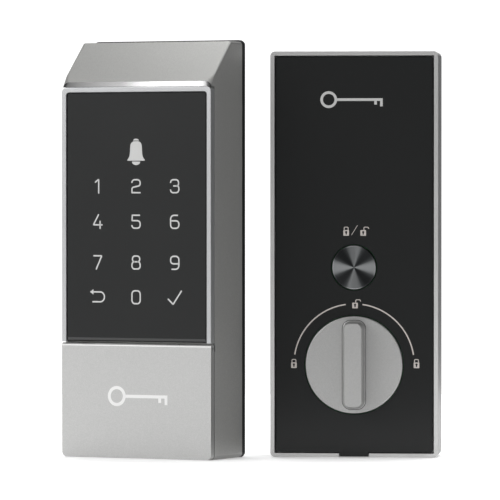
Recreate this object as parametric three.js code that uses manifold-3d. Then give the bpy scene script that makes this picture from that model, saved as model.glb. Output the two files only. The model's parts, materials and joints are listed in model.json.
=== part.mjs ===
// Keypad smart lock for a door: an outside unit with a touch keypad and a hidden key
// cylinder, and an inside unit with a thumb turn, a lock button, a gear motor and batteries.
// The two units stand side by side on their lower ends. Millimetres, +Z up.
//
// Each unit is drawn in its own frame: x across, y from front (negative) to back, z up,
// with y = 0 on the face that goes against the door and z = 0 at the lower end.
import * as THREE from 'three';
import { mergeVertices } from 'three/addons/utils/BufferGeometryUtils.js';
import Module from 'manifold-3d';

const wasm = await Module();
wasm.setup();

// ---------------------------------------------------------------- driving dimensions

const UNIT_WIDTH = 70;
const CORNER_RADIUS = 2; // corners of both units, seen from the front
const SEAT_GAP = 0.1; // between pieces that are fixed together
const FIT_GAP = 0.35; // round a piece that drops into a pocket
const RUN_GAP = 0.1; // radial, between a shaft and its bush

// Where the units stand.
const OUTSIDE_TURN = THREE.MathUtils.degToRad(-21.6);
const OUTSIDE_GAP = 11; // from the outside unit's side to the line between the units
const INSIDE_GAP = 8.4;
const STANDING_STEP = 16.6; // the inside unit's front stands this far behind the outside unit's
const outsideCentreX = -UNIT_WIDTH / 2 - OUTSIDE_GAP; // middle of the outside unit's front face
const insideCentreX = UNIT_WIDTH / 2 + INSIDE_GAP; // middle of the inside unit's front face

// Outside unit: housing.
const OUT_HEIGHT = 173;
const OUT_SHELL_DEPTH = 28.3;
const OUT_WALL = 2.5;
const DECK_THICKNESS = 3.5; // wall behind the keypad and the keyway cover
const ROOF_FOOT_HEIGHT = 154.1; // where the sloping roof starts
const ROOF_LIP_HEIGHT = 2.1; // narrow bevel between the front and the slope
const ROOF_LIP_DEPTH = 0.8;
const ROOF_RUN = 18.3; // from the front plane back to the crest
const ROOF_CORNER_RADIUS = 3; // of the roof's lower corners, and how far back they run out
const ROOF_CORNER_RUN = 3.2;
const ROOF_EDGE_RADIUS = 0.8;
const CREST_CORNER_RADIUS = 1.4;
const SLICE = 0.01;
const BACK_PLATE_THICKNESS = 2.2;
const BACK_LEDGE = 0.7; // how far the back plate stands up behind the roof's crest
const GASKET_THICKNESS = 1.1;

// Outside unit: keypad.
const BEZEL_WIDTH = 2;
const BEZEL_DEPTH = 3.2;
const COVER_TOP = 47.7;
const COVER_FOOT_GAP = 0.2;
const SEAM_GAP = 0.5; // between the keyway cover and the bezel
const GLASS_THICKNESS = 1.8;
const GLASS_RECESS = 0.2; // glass face behind the bezel's face
const GLASS_CORNER_RADIUS = 1.2;
const SEAL_WIDTH = 1.2;
const LIGHT_GUIDE_THICKNESS = 0.9;
const BOARD_THICKNESS = 1.6;
const KEYPAD_BOARD_MARGIN = 3.8; // from the unit's side to the board
const SOCKET = { width: 12, height: 5, depth: 4.5 };
const BUZZER = { radius: 8, thickness: 3.5, x: 17, z: 128 };

// Outside unit: keyway cover, which hangs on a pin along its top edge and flips up.
const COVER_THICKNESS = 2.9;
const COVER_EDGE_RADIUS = 1.2; // both sides of the top edge
const COVER_AXIS_INSET = 1.7; // the pin, behind the front face and below the top edge
const HINGE = { pinRadius: 0.5, lugRadius: 0.95, lugWidth: 6, lugX: 23, clearance: 0.25 };

// Lock axis, cylinder and tailpiece.
const CYLINDER_HEIGHT = 33;
const CYLINDER = { radius: 9.6, flangeRadius: 11, flangeThickness: 1.4 };
const PLUG_RADIUS = 6.4;
const KEYWAY = { width: 1.8, height: 8.6, depth: 12 };
const TAILPIECE = { width: 8, thickness: 2, reach: 34, grip: 4 };
const POST = { spacing: 32, radius: 3.5, bore: 1.7, flangeRadius: 5.5, flange: 1.5, reach: 18 };
const BACK_SCREW = { inset: 5.4, margin: 8, topMargin: 11, boss: 3.2, shank: 1.2, head: 2.6 };

// Inside unit: housing and removable front cover.
const IN_HEIGHT = 169;
const IN_DEPTH = 26;
const RIM = 1.75; // housing wall, seen from the front as a narrow rim
const COVER_GAP = 0.45;
const FRONT_COVER_THICKNESS = 2;
const FRONT_COVER_RECESS = 0.2;
const NOTCH_WIDTH = 12.6; // gap in the lower rim, for the cover's finger tab
const NOTCH_DEPTH = 7;
const CLIP = { width: 7, thickness: 1.2, length: 4, heights: [22, 98, 150] };

// Inside unit: chassis and mounting plate.
const MOUNTING_PLATE = { thickness: 1.6, margin: 4 };
const CHASSIS_FLOOR = 2;
const CHASSIS_WALL = 1.5;
const CHASSIS_WALL_FRONT = -17;
const FLOOR_BACK = -2.9; // back face of the chassis floor
const BOLT = { radius: 1.9, headRadius: 3.8, headThickness: 2.5, reach: 24 };
const HOUSING_SCREW = { inset: 4.1, boss: 2.7, shank: 1, head: 2.3, headThickness: 1, length: 9 };

// Inside unit: batteries, AA size.
const BATTERY = { radius: 7.1, length: 50.5, nubRadius: 2.7, nubLength: 1.3, count: 4 };
const BATTERY_PITCH = 14.8;
const BATTERY_BAY_FOOT = 103.5;
const BAY_WALL = 1.6;
const CONTACT = { width: 11, height: 11, thickness: 0.6 };
const BATTERY_SPRING = { length: 4.4, baseRadius: 4.2, tipRadius: 2.4, wire: 0.45, turns: 3.5 };

// Inside unit: thumb turn, button and drive.
const SPINDLE_HEIGHT = 38.6;
const DIAL_RADIUS = 20.25;
const DIAL_HOLE_GAP = 0.55;
const DIAL_PROUD = 0.8;
const DIAL_THICKNESS = 3;
const GRIP = { width: 9.6, length: 36.9, height: 8, taper: 1.5, cornerRadius: 3.4 };
const BUTTON_HEIGHT = 79.1;
const BUTTON_RADIUS = 9.15;
const BUTTON_HOLE_GAP = 0.55;
const BUTTON_PROUD = 0.5;
const BUTTON_TRAVEL = 0.8;
const BUTTON_FACE_THICKNESS = 1;
const CONTROL_BOARD = { margin: 6, foot: 12, top: 98, back: -21 };
const SWITCH = { side: 5.2, thickness: 1.3 };

const GEAR_MODULE = 0.8;
const PRESSURE_ANGLE = THREE.MathUtils.degToRad(25);
const ADDENDUM = 0.95; // in modules
const DEDENDUM = 1.25;
const BACKLASH = 0.14; // taken off each tooth's thickness
const OUTPUT_TEETH = 40;
const IDLER_PINION_TEETH = 12;
const IDLER_TEETH = 36;
const MOTOR_TEETH = 12;
const IDLER_DIRECTION = THREE.MathUtils.degToRad(45); // from the spindle to the idler
const MOTOR_DIRECTION = THREE.MathUtils.degToRad(100); // from the idler to the motor
const OUTPUT_GEAR_LAYER = [-14, -10]; // front and back of the output gear
const IDLER_GEAR_LAYER = [-9, -6];
const HUB = { radius: 6, collarRadius: 8, collar: 0.8, slotGap: 0.4 };
const HUB_GEAR_GAP = 0.64; // between the idler's teeth and the hub's tail
const BUSH_WALL = 2.1;
const GEAR_PLATE = { front: -18.6, thickness: 1.5, margin: 8, foot: 18, top: 84 };
const PILLAR_RADIUS = 2;
const IDLER_PIN_RADIUS = 1.5;
const MOTOR = { radius: 7.4, front: -20.7, shaftRadius: 1 };

// ---------------------------------------------------------------- materials

const finish = (color, roughness, metalness) =>
  new THREE.MeshStandardMaterial({ color, roughness, metalness });

const MATERIALS = {
  silverPaint: finish(0xb4b4b4, 0.45, 0.6),
  darkSilver: finish(0x8c8d8c, 0.5, 0.6),
  bezel: finish(0xd4d4d4, 0.3, 0.8),
  glass: finish(0x1b1c1c, 0.1, 0),
  blackPanel: finish(0x161717, 0.25, 0),
  blackPlastic: finish(0x121212, 0.6, 0),
  rubber: finish(0x0b0b0b, 0.9, 0),
  whitePlastic: finish(0xe6e6e2, 0.5, 0),
  board: finish(0x1d5a34, 0.5, 0),
  brass: finish(0xb59a55, 0.35, 1),
  steel: finish(0xaeb2b5, 0.35, 1),
  spunAluminium: finish(0x8a8b8c, 0.3, 1),
  battery: finish(0x2c5f8a, 0.4, 0.2),
  gearPlastic: finish(0xd9d4c4, 0.55, 0),
};

// ---------------------------------------------------------------- solids

// A closed geometry as a manifold solid.
function solid(geometry) {
  const loose = geometry.index ? geometry.toNonIndexed() : geometry;
  const bare = new THREE.BufferGeometry();
  bare.setAttribute('position', loose.getAttribute('position'));
  const merged = mergeVertices(bare, 1e-4);
  return new wasm.Manifold(new wasm.Mesh({
    numProp: 3,
    vertProperties: merged.attributes.position.array,
    triVerts: new Uint32Array(merged.index.array),
  }));
}

// A manifold solid as a geometry with flat faces.
function geometryOf(body) {
  const mesh = body.getMesh();
  const geometry = new THREE.BufferGeometry();
  geometry.setAttribute('position', new THREE.BufferAttribute(new Float32Array(mesh.vertProperties), 3));
  geometry.setIndex(new THREE.BufferAttribute(new Uint32Array(mesh.triVerts), 1));
  const flat = geometry.toNonIndexed();
  flat.computeVertexNormals();
  return flat;
}

const join = (...bodies) => bodies.reduce((all, body) => all.add(body));
const cut = (body, ...tools) => tools.reduce((left, tool) => left.subtract(tool), body);

function box(x0, x1, y0, y1, z0, z1) {
  const geometry = new THREE.BoxGeometry(x1 - x0, y1 - y0, z1 - z0);
  geometry.translate((x0 + x1) / 2, (y0 + y1) / 2, (z0 + z1) / 2);
  return solid(geometry);
}

// A cylinder along y.
function rod(radius, front, back, x = 0, z = 0, segments = 32) {
  const geometry = new THREE.CylinderGeometry(radius, radius, back - front, segments);
  geometry.translate(x, (front + back) / 2, z);
  return solid(geometry);
}

function ring(outer, inner, front, back, x = 0, z = 0, segments = 32) {
  return cut(
    rod(outer, front, back, x, z, segments),
    rod(inner, front - 1, back + 1, x, z, segments),
  );
}

// A flat outline in (x, z), given its depth along y.
function slab(outline, front, back, curveSegments = 4) {
  const settings = { depth: back - front, bevelEnabled: false, curveSegments };
  const geometry = new THREE.ExtrudeGeometry(outline, settings);
  geometry.rotateX(Math.PI / 2);
  geometry.translate(0, back, 0);
  return solid(geometry);
}

// A cylinder along x.
function axle(radius, x0, x1, y, z, segments = 16) {
  const geometry = new THREE.CylinderGeometry(radius, radius, x1 - x0, segments);
  geometry.rotateZ(Math.PI / 2);
  geometry.translate((x0 + x1) / 2, y, z);
  return solid(geometry);
}

// A flat outline in (y, z), given its width along x.
function sweptAcross(outline, x0, x1) {
  const settings = { depth: x1 - x0, bevelEnabled: false, curveSegments: 5 };
  const geometry = new THREE.ExtrudeGeometry(outline, settings);
  const yAxis = new THREE.Vector3(0, 1, 0);
  const zAxis = new THREE.Vector3(0, 0, 1);
  const xAxis = new THREE.Vector3(1, 0, 0);
  geometry.applyMatrix4(new THREE.Matrix4().makeBasis(yAxis, zAxis, xAxis));
  geometry.translate(x0, 0, 0);
  return solid(geometry);
}

// A rectangle with its own radius at each end: lower corners and upper corners.
function roundedOutline(x0, x1, z0, z1, lower, upper = lower) {
  const shape = new THREE.Shape();
  shape.moveTo(x0 + lower, z0);
  shape.lineTo(x1 - lower, z0);
  if (lower > 0) shape.absarc(x1 - lower, z0 + lower, lower, -Math.PI / 2, 0, false);
  shape.lineTo(x1, z1 - upper);
  if (upper > 0) shape.absarc(x1 - upper, z1 - upper, upper, 0, Math.PI / 2, false);
  shape.lineTo(x0 + upper, z1);
  if (upper > 0) shape.absarc(x0 + upper, z1 - upper, upper, Math.PI / 2, Math.PI, false);
  shape.lineTo(x0, z0 + lower);
  if (lower > 0) shape.absarc(x0 + lower, z0 + lower, lower, Math.PI, Math.PI * 1.5, false);
  return shape;
}

const centred = (width, z0, z1, lower, upper) =>
  roundedOutline(-width / 2, width / 2, z0, z1, lower, upper);

// An involute spur gear outline with one tooth centred on the angle phase.
function gearOutline(teeth, phase) {
  const pitch = (teeth * GEAR_MODULE) / 2;
  const base = pitch * Math.cos(PRESSURE_ANGLE);
  const tip = pitch + ADDENDUM * GEAR_MODULE;
  const root = pitch - DEDENDUM * GEAR_MODULE;
  const involute = (angle) => Math.tan(angle) - angle;
  const halfTooth = Math.PI / (2 * teeth) - BACKLASH / (2 * pitch);
  const halfAngle = (radius) => {
    const pressure = Math.acos(Math.min(1, base / Math.max(radius, base)));
    return halfTooth + involute(PRESSURE_ANGLE) - involute(pressure);
  };
  const flankFoot = Math.max(base, root);
  const radii = [root, (flankFoot + tip) / 2, tip];
  const points = [];
  for (let tooth = 0; tooth < teeth; tooth += 1) {
    const centre = phase + (2 * Math.PI * tooth) / teeth;
    for (const radius of radii) points.push([radius, centre - halfAngle(radius)]);
    for (const radius of [...radii].reverse()) points.push([radius, centre + halfAngle(radius)]);
  }
  return new THREE.Shape(points.map(([radius, angle]) =>
    new THREE.Vector2(radius * Math.cos(angle), radius * Math.sin(angle))));
}

const gearBlank = (teeth, phase, front, back) => slab(gearOutline(teeth, phase), front, back);

function screw(radius, headRadius, front, back, headThickness, x, z) {
  const head = rod(headRadius, back - headThickness, back, x, z, 20);
  const shank = rod(radius, front, back - headThickness / 2, x, z, 12);
  const drive = box(x - 0.3, x + 0.3, back - 0.4, back + 1, z - headRadius * 0.6, z + headRadius * 0.6);
  const driveAcross = box(x - headRadius * 0.6, x + headRadius * 0.6, back - 0.4, back + 1, z - 0.3, z + 0.3);
  return cut(join(head, shank), drive, driveAcross);
}

const outsideUnit = new THREE.Group();
const insideUnit = new THREE.Group();

function piece(unit, name, body, material, x = 0, z = 0) {
  const mesh = new THREE.Mesh(geometryOf(body), material);
  mesh.name = name;
  mesh.position.set(x, 0, z);
  unit.add(mesh);
}

const HALF_WIDTH = UNIT_WIDTH / 2;
const BOTH_SIDES = [['left', -1], ['right', 1]];

// ---------------------------------------------------------------- outside unit, back to front

const gasketFront = -GASKET_THICKNESS;
const plateBack = gasketFront - SEAT_GAP;
const plateFront = plateBack - BACK_PLATE_THICKNESS;
const shellBack = plateFront - SEAT_GAP;
const shellFront = shellBack - OUT_SHELL_DEPTH;
const deckFront = shellFront + BEZEL_DEPTH + SEAT_GAP;
const deckBack = deckFront + DECK_THICKNESS;
const postOffset = POST.spacing / 2;
const backScrewX = HALF_WIDTH - BACK_SCREW.inset;
const backScrewHeights = [BACK_SCREW.margin, OUT_HEIGHT - BACK_SCREW.topMargin];
const cableWindow = { width: SOCKET.width + 3, foot: 56, top: 56 + SOCKET.height + 3 };

const boardHalfWidth = HALF_WIDTH - KEYPAD_BOARD_MARGIN;
const bezelFoot = COVER_TOP + SEAM_GAP;
const glassFoot = bezelFoot + 0.2;
const bezelTop = ROOF_FOOT_HEIGHT - SEAT_GAP;
const glassTop = bezelTop - BEZEL_WIDTH - FIT_GAP;
const boardFoot = glassFoot + KEYPAD_BOARD_MARGIN;
const boardTop = glassTop - SEAL_WIDTH - 1.5;
const glassFront = shellFront + GLASS_RECESS;
const glassBack = glassFront + GLASS_THICKNESS;
const boardPocketFloor = deckFront + BOARD_THICKNESS + 2 * SEAT_GAP;
const hingeY = shellFront + COVER_AXIS_INSET;
const hingeZ = COVER_TOP - COVER_AXIS_INSET;

const roofLip = { y: shellFront + ROOF_LIP_DEPTH, z: ROOF_FOOT_HEIGHT + ROOF_LIP_HEIGHT };
const roofSlope = (OUT_HEIGHT - roofLip.z) / (ROOF_RUN - ROOF_LIP_DEPTH);

// The block with its roof is the hull of thin slices: [distance back, height, radius of upper corners].
// The upper corners are round where the lip meets the roof, and become nearly square up the slope.
function roofedBlock() {
  const turnEnd = roofLip.y + ROOF_CORNER_RUN;
  const slices = [
    [shellFront, ROOF_FOOT_HEIGHT, CORNER_RADIUS],
    [roofLip.y, roofLip.z, ROOF_CORNER_RADIUS],
    [turnEnd, roofLip.z + ROOF_CORNER_RUN * roofSlope, ROOF_EDGE_RADIUS],
    [shellFront + ROOF_RUN, OUT_HEIGHT, CREST_CORNER_RADIUS],
    [shellBack - SLICE, OUT_HEIGHT, CREST_CORNER_RADIUS],
  ];
  return wasm.Manifold.hull(slices.map(([y, height, radius]) =>
    slab(centred(UNIT_WIDTH, 0, height, CORNER_RADIUS, radius), y, y + SLICE)));
}

function cavityProfile(inset) {
  const drop = inset * Math.hypot(1, roofSlope); // the slope, moved inwards by the inset
  const slopeHeight = (y) => roofLip.z + (y - roofLip.y) * roofSlope - drop;
  const crestY = roofLip.y + (OUT_HEIGHT - inset - roofLip.z + drop) / roofSlope;
  return new THREE.Shape([[shellBack + 1, inset], [shellBack + 1, OUT_HEIGHT - inset],
    [crestY, OUT_HEIGHT - inset], [deckBack, slopeHeight(deckBack)], [deckBack, inset]]
    .map(([y, z]) => new THREE.Vector2(y, z)));
}

function outsideShell() {
  const outer = roofedBlock();
  const innerHalf = HALF_WIDTH - OUT_WALL;
  const cavity = sweptAcross(cavityProfile(OUT_WALL), -innerHalf, innerHalf);
  const frontRecess = box(-HALF_WIDTH - 1, HALF_WIDTH + 1, shellFront - 1, deckFront, -1, ROOF_FOOT_HEIGHT);
  const bosses = BOTH_SIDES.flatMap(([, side]) => backScrewHeights.map((z) =>
    rod(BACK_SCREW.boss, -20, shellBack, side * backScrewX, z, 20)));
  const pilots = BOTH_SIDES.flatMap(([, side]) => backScrewHeights.map((z) =>
    rod(BACK_SCREW.shank + 0.3, -14, shellBack + 1, side * backScrewX, z, 12)));
  const boardPocket = box(-boardHalfWidth - FIT_GAP, boardHalfWidth + FIT_GAP, deckFront - 1,
    boardPocketFloor, boardFoot - FIT_GAP, boardTop + FIT_GAP);
  const window = box(-cableWindow.width / 2, cableWindow.width / 2, deckFront - 1, deckBack + 1,
    cableWindow.foot, cableWindow.top);
  const cylinderHole = rod(CYLINDER.radius + 0.3, deckFront - 1, deckBack + 1, 0, CYLINDER_HEIGHT, 40);
  const flangeSeat = rod(CYLINDER.flangeRadius + 0.3, deckFront - 1,
    deckFront + CYLINDER.flangeThickness + SEAT_GAP, 0, CYLINDER_HEIGHT, 40);
  // The cover's top edge swings back into a shallow channel across the deck.
  const sweep = Math.SQRT2 * (COVER_AXIS_INSET - COVER_EDGE_RADIUS) + COVER_EDGE_RADIUS;
  const channelBack = hingeY + sweep + HINGE.clearance;
  const channelHalf = Math.sqrt(sweep ** 2 - (deckFront - hingeY) ** 2) + HINGE.clearance;
  const channel = box(-HALF_WIDTH - 1, HALF_WIDTH + 1, deckFront - 1, channelBack,
    hingeZ - channelHalf, hingeZ + channelHalf);
  const lugs = BOTH_SIDES.map(([, side]) => {
    const x0 = side * HINGE.lugX - HINGE.lugWidth / 2;
    const x1 = x0 + HINGE.lugWidth;
    const knuckle = axle(HINGE.lugRadius, x0, x1, hingeY, hingeZ, 20);
    const arm = box(x0, x1, hingeY, channelBack + 0.5, hingeZ - HINGE.lugRadius, hingeZ + HINGE.lugRadius);
    return join(knuckle, arm);
  });
  const pinHole = axle(HINGE.pinRadius + RUN_GAP, -HALF_WIDTH, HALF_WIDTH, hingeY, hingeZ);
  const hollow = cut(join(cut(outer, cavity), ...bosses), frontRecess, boardPocket, window,
    cylinderHole, flangeSeat, channel, ...pilots);
  return cut(join(hollow, ...lugs), pinHole);
}
piece(outsideUnit, 'outside_shell', outsideShell(), MATERIALS.darkSilver);

// Rim round the keypad: left rail, top rail and right rail, open above the keyway cover.
function bezelOutline() {
  const outer = HALF_WIDTH;
  const inner = HALF_WIDTH - BEZEL_WIDTH;
  const top = bezelTop;
  const innerTop = bezelTop - BEZEL_WIDTH;
  const foot = bezelFoot;
  const outerRadius = CORNER_RADIUS;
  const innerRadius = GLASS_CORNER_RADIUS + FIT_GAP;
  const shape = new THREE.Shape();
  shape.moveTo(inner, foot);
  shape.lineTo(outer, foot);
  shape.lineTo(outer, top - outerRadius);
  shape.absarc(outer - outerRadius, top - outerRadius, outerRadius, 0, Math.PI / 2, false);
  shape.absarc(-outer + outerRadius, top - outerRadius, outerRadius, Math.PI / 2, Math.PI, false);
  shape.lineTo(-outer, foot);
  shape.lineTo(-inner, foot);
  shape.lineTo(-inner, innerTop - innerRadius);
  shape.absarc(-inner + innerRadius, innerTop - innerRadius, innerRadius, Math.PI, Math.PI / 2, true);
  shape.absarc(inner - innerRadius, innerTop - innerRadius, innerRadius, Math.PI / 2, 0, true);
  return shape;
}
piece(outsideUnit, 'front_bezel', slab(bezelOutline(), shellFront, shellFront + BEZEL_DEPTH), MATERIALS.bezel);

const glassHalf = HALF_WIDTH - BEZEL_WIDTH - FIT_GAP;
const glassOutline = (inset) => roundedOutline(-glassHalf + inset, glassHalf - inset, glassFoot + inset,
  glassTop - inset, 0.3, GLASS_CORNER_RADIUS);
piece(outsideUnit, 'touch_glass', slab(glassOutline(0), glassFront, glassBack), MATERIALS.glass);

const sealBody = cut(
  slab(glassOutline(0), glassBack + SEAT_GAP, deckFront - SEAT_GAP),
  slab(glassOutline(SEAL_WIDTH), glassBack, deckFront),
);
piece(outsideUnit, 'glass_seal', sealBody, MATERIALS.rubber);

const guideHalf = Math.min(boardHalfWidth, glassHalf - SEAL_WIDTH - FIT_GAP);
const lightGuideBody = box(-guideHalf, guideHalf, glassBack + SEAT_GAP,
  glassBack + SEAT_GAP + LIGHT_GUIDE_THICKNESS, boardFoot, boardTop);
piece(outsideUnit, 'light_guide', lightGuideBody, MATERIALS.whitePlastic);

const keypadBoardFront = deckFront + SEAT_GAP;
const keypadBoardBack = keypadBoardFront + BOARD_THICKNESS;
const keypadBoardBody = box(-boardHalfWidth, boardHalfWidth, keypadBoardFront, keypadBoardBack,
  boardFoot, boardTop);
piece(outsideUnit, 'keypad_board', keypadBoardBody, MATERIALS.board);

const keypadSocketFoot = cableWindow.foot + 1.5;
const keypadSocketBody = cut(
  box(-SOCKET.width / 2, SOCKET.width / 2, keypadBoardBack + SEAT_GAP,
    keypadBoardBack + SEAT_GAP + SOCKET.depth, keypadSocketFoot, keypadSocketFoot + SOCKET.height),
  box(-SOCKET.width / 2 + 1, SOCKET.width / 2 - 1, keypadBoardBack + 1.5,
    keypadBoardBack + SOCKET.depth + 1, keypadSocketFoot + 1, keypadSocketFoot + SOCKET.height - 1),
);
piece(outsideUnit, 'keypad_socket', keypadSocketBody, MATERIALS.whitePlastic);

const buzzerBody = cut(
  rod(BUZZER.radius, deckBack + SEAT_GAP, deckBack + SEAT_GAP + BUZZER.thickness, 0, 0, 32),
  rod(1.2, deckBack + 1, deckBack + BUZZER.thickness + 1, 0, 0, 12),
);
piece(outsideUnit, 'buzzer', buzzerBody, MATERIALS.blackPlastic, BUZZER.x, BUZZER.z);

// Keyway cover: a plate with a rounded top edge, notched behind for the two hinge lugs.
function keywayCover() {
  const front = shellFront;
  const back = shellFront + COVER_THICKNESS;
  const radius = COVER_EDGE_RADIUS;
  const section = new THREE.Shape();
  section.moveTo(front, -1);
  section.lineTo(back, -1);
  section.lineTo(back, COVER_TOP - radius);
  section.absarc(back - radius, COVER_TOP - radius, radius, 0, Math.PI / 2, false);
  section.absarc(front + radius, COVER_TOP - radius, radius, Math.PI / 2, Math.PI, false);
  const plate = slab(centred(UNIT_WIDTH, COVER_FOOT_GAP, COVER_TOP + 1, CORNER_RADIUS, 0), front - 1, back + 1)
    .intersect(sweptAcross(section, -HALF_WIDTH - 1, HALF_WIDTH + 1));
  const reach = HINGE.lugRadius + HINGE.clearance;
  const notches = BOTH_SIDES.map(([, side]) => {
    const half = HINGE.lugWidth / 2 + FIT_GAP;
    return box(side * HINGE.lugX - half, side * HINGE.lugX + half, hingeY - reach, back + 1,
      hingeZ - reach, COVER_TOP + 1);
  });
  return cut(plate, axle(HINGE.pinRadius + RUN_GAP, -HALF_WIDTH - 1, HALF_WIDTH + 1, hingeY, hingeZ),
    ...notches);
}
piece(outsideUnit, 'keyway_cover', keywayCover(), MATERIALS.silverPaint);
const hingePinBody = axle(HINGE.pinRadius, -HALF_WIDTH + 0.4, HALF_WIDTH - 0.4, hingeY, 0);
piece(outsideUnit, 'hinge_pin', hingePinBody, MATERIALS.steel, 0, hingeZ);

// Key cylinder behind the cover, with its plug, retainer and tailpiece.
const flangeFront = deckFront + SEAT_GAP;
const cylinderBack = plateFront - 2 * SEAT_GAP;
const cylinderBody = cut(
  join(
    rod(CYLINDER.flangeRadius, flangeFront, flangeFront + CYLINDER.flangeThickness - SEAT_GAP, 0, 0, 40),
    rod(CYLINDER.radius, flangeFront, cylinderBack, 0, 0, 40),
  ),
  rod(PLUG_RADIUS + RUN_GAP, flangeFront - 1, cylinderBack + 1, 0, 0, 40),
);
piece(outsideUnit, 'lock_cylinder', cylinderBody, MATERIALS.steel, 0, CYLINDER_HEIGHT);

const retainerThickness = 1.3;
const plugBack = cylinderBack - retainerThickness - SEAT_GAP;
const plugBody = cut(
  rod(PLUG_RADIUS, flangeFront, plugBack, 0, 0, 40),
  box(-KEYWAY.width / 2, KEYWAY.width / 2, flangeFront - 1, flangeFront + KEYWAY.depth,
    -KEYWAY.height / 2, KEYWAY.height / 2),
  box(-TAILPIECE.thickness / 2 - 0.3, TAILPIECE.thickness / 2 + 0.3, plugBack - TAILPIECE.grip,
    plugBack + 1, -TAILPIECE.width / 2 - 0.3, TAILPIECE.width / 2 + 0.3),
);
piece(outsideUnit, 'key_plug', plugBody, MATERIALS.brass, 0, CYLINDER_HEIGHT);

const retainerBody = cut(
  rod(PLUG_RADIUS - 0.2, plugBack + SEAT_GAP, plugBack + SEAT_GAP + retainerThickness, 0, 0, 32),
  box(-TAILPIECE.thickness / 2 - 0.3, TAILPIECE.thickness / 2 + 0.3, plugBack - 1, 0,
    -TAILPIECE.width / 2 - 0.3, TAILPIECE.width / 2 + 0.3),
);
piece(outsideUnit, 'plug_retainer', retainerBody, MATERIALS.steel, 0, CYLINDER_HEIGHT);

const tailpieceFront = plugBack - TAILPIECE.grip + 0.3;
const tailpieceBody = cut(
  box(-TAILPIECE.thickness / 2, TAILPIECE.thickness / 2, tailpieceFront, TAILPIECE.reach,
    -TAILPIECE.width / 2, TAILPIECE.width / 2),
  // Snap-off notches let the blade be shortened for a thin door.
  ...[0.45, 0.65, 0.85].map((share) => box(-TAILPIECE.thickness, TAILPIECE.thickness,
    share * TAILPIECE.reach, share * TAILPIECE.reach + 1, TAILPIECE.width / 2 - 0.8, TAILPIECE.width)),
);
piece(outsideUnit, 'tailpiece', tailpieceBody, MATERIALS.steel, 0, CYLINDER_HEIGHT);

// Threaded posts staked in the back plate; bolts from the inside unit screw into them.
for (const [name, side] of BOTH_SIDES) {
  const body = cut(
    join(
      rod(POST.flangeRadius, plateFront - SEAT_GAP - POST.flange, plateFront - SEAT_GAP, 0, 0, 6),
      rod(POST.radius, plateFront - SEAT_GAP - POST.flange, POST.reach, 0, 0, 28),
    ),
    rod(POST.bore, plateFront, POST.reach + 1, 0, 0, 16),
  );
  piece(outsideUnit, `mounting_post_${name}`, body, MATERIALS.steel, side * postOffset, CYLINDER_HEIGHT);
}

// Back plate and gasket share their holes; the gasket's are wider.
function backSheet(front, back, inset, widen, screwHole) {
  const sheet = slab(centred(UNIT_WIDTH - 2 * inset, inset, OUT_HEIGHT + BACK_LEDGE - inset,
    CORNER_RADIUS - inset), front, back);
  const posts = BOTH_SIDES.map(([, side]) =>
    rod(POST.radius + 0.3 + widen, front - 1, back + 1, side * postOffset, CYLINDER_HEIGHT, 24));
  const screws = BOTH_SIDES.flatMap(([, side]) => backScrewHeights.map((z) =>
    rod(screwHole, front - 1, back + 1, side * backScrewX, z, 16)));
  const tail = rod(8 + widen, front - 1, back + 1, 0, CYLINDER_HEIGHT, 32);
  const cable = box(-cableWindow.width / 2 - widen, cableWindow.width / 2 + widen, front - 1, back + 1,
    cableWindow.foot - widen, cableWindow.top + widen);
  return cut(sheet, tail, cable, ...posts, ...screws);
}
piece(outsideUnit, 'back_plate', backSheet(plateFront, plateBack, 0, 0, BACK_SCREW.shank + 0.3),
  MATERIALS.blackPlastic);
piece(outsideUnit, 'back_gasket', backSheet(gasketFront, 0, 0.4, 0.6, BACK_SCREW.head + 0.4),
  MATERIALS.rubber);

let screwNumber = 0;
for (const z of backScrewHeights) {
  for (const [, side] of BOTH_SIDES) {
    screwNumber += 1;
    const body = screw(BACK_SCREW.shank, BACK_SCREW.head, -13, gasketFront + 0.8, 0.8, 0, 0);
    piece(outsideUnit, `back_screw_${screwNumber}`, body, MATERIALS.steel, side * backScrewX, z);
  }
}

// ---------------------------------------------------------------- inside unit, back to front

const insideFront = -IN_DEPTH;
const housingBack = -0.2;
const housingInner = HALF_WIDTH - RIM;
const coverFront = insideFront + FRONT_COVER_RECESS;
const coverBack = coverFront + FRONT_COVER_THICKNESS;
const floorFront = FLOOR_BACK - CHASSIS_FLOOR;
const housingScrewPlaces = BOTH_SIDES.flatMap(([, side]) =>
  [HOUSING_SCREW.inset, IN_HEIGHT - HOUSING_SCREW.inset].map((z) =>
    [side * (HALF_WIDTH - HOUSING_SCREW.inset), z]));
const housingBossBack = floorFront - SEAT_GAP;
const housingBossFront = CHASSIS_WALL_FRONT - 2;

function insideHousing() {
  const outer = slab(centred(UNIT_WIDTH, 0, IN_HEIGHT, CORNER_RADIUS), insideFront, housingBack);
  const inner = slab(centred(2 * housingInner, RIM, IN_HEIGHT - RIM, CORNER_RADIUS - RIM),
    insideFront - 1, housingBack + 1);
  const notch = box(-NOTCH_WIDTH / 2, NOTCH_WIDTH / 2, insideFront - 1, insideFront + NOTCH_DEPTH,
    -1, RIM + 1);
  const bosses = housingScrewPlaces.map(([x, z]) =>
    rod(HOUSING_SCREW.boss, housingBossFront, housingBossBack, x, z, 20).intersect(outer));
  const pilots = housingScrewPlaces.map(([x, z]) =>
    rod(HOUSING_SCREW.shank + 0.3, FLOOR_BACK - HOUSING_SCREW.length - 1, 0, x, z, 12));
  return cut(join(cut(outer, inner), ...bosses), notch, ...pilots);
}
piece(insideUnit, 'inside_housing', insideHousing(), MATERIALS.silverPaint);

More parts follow.
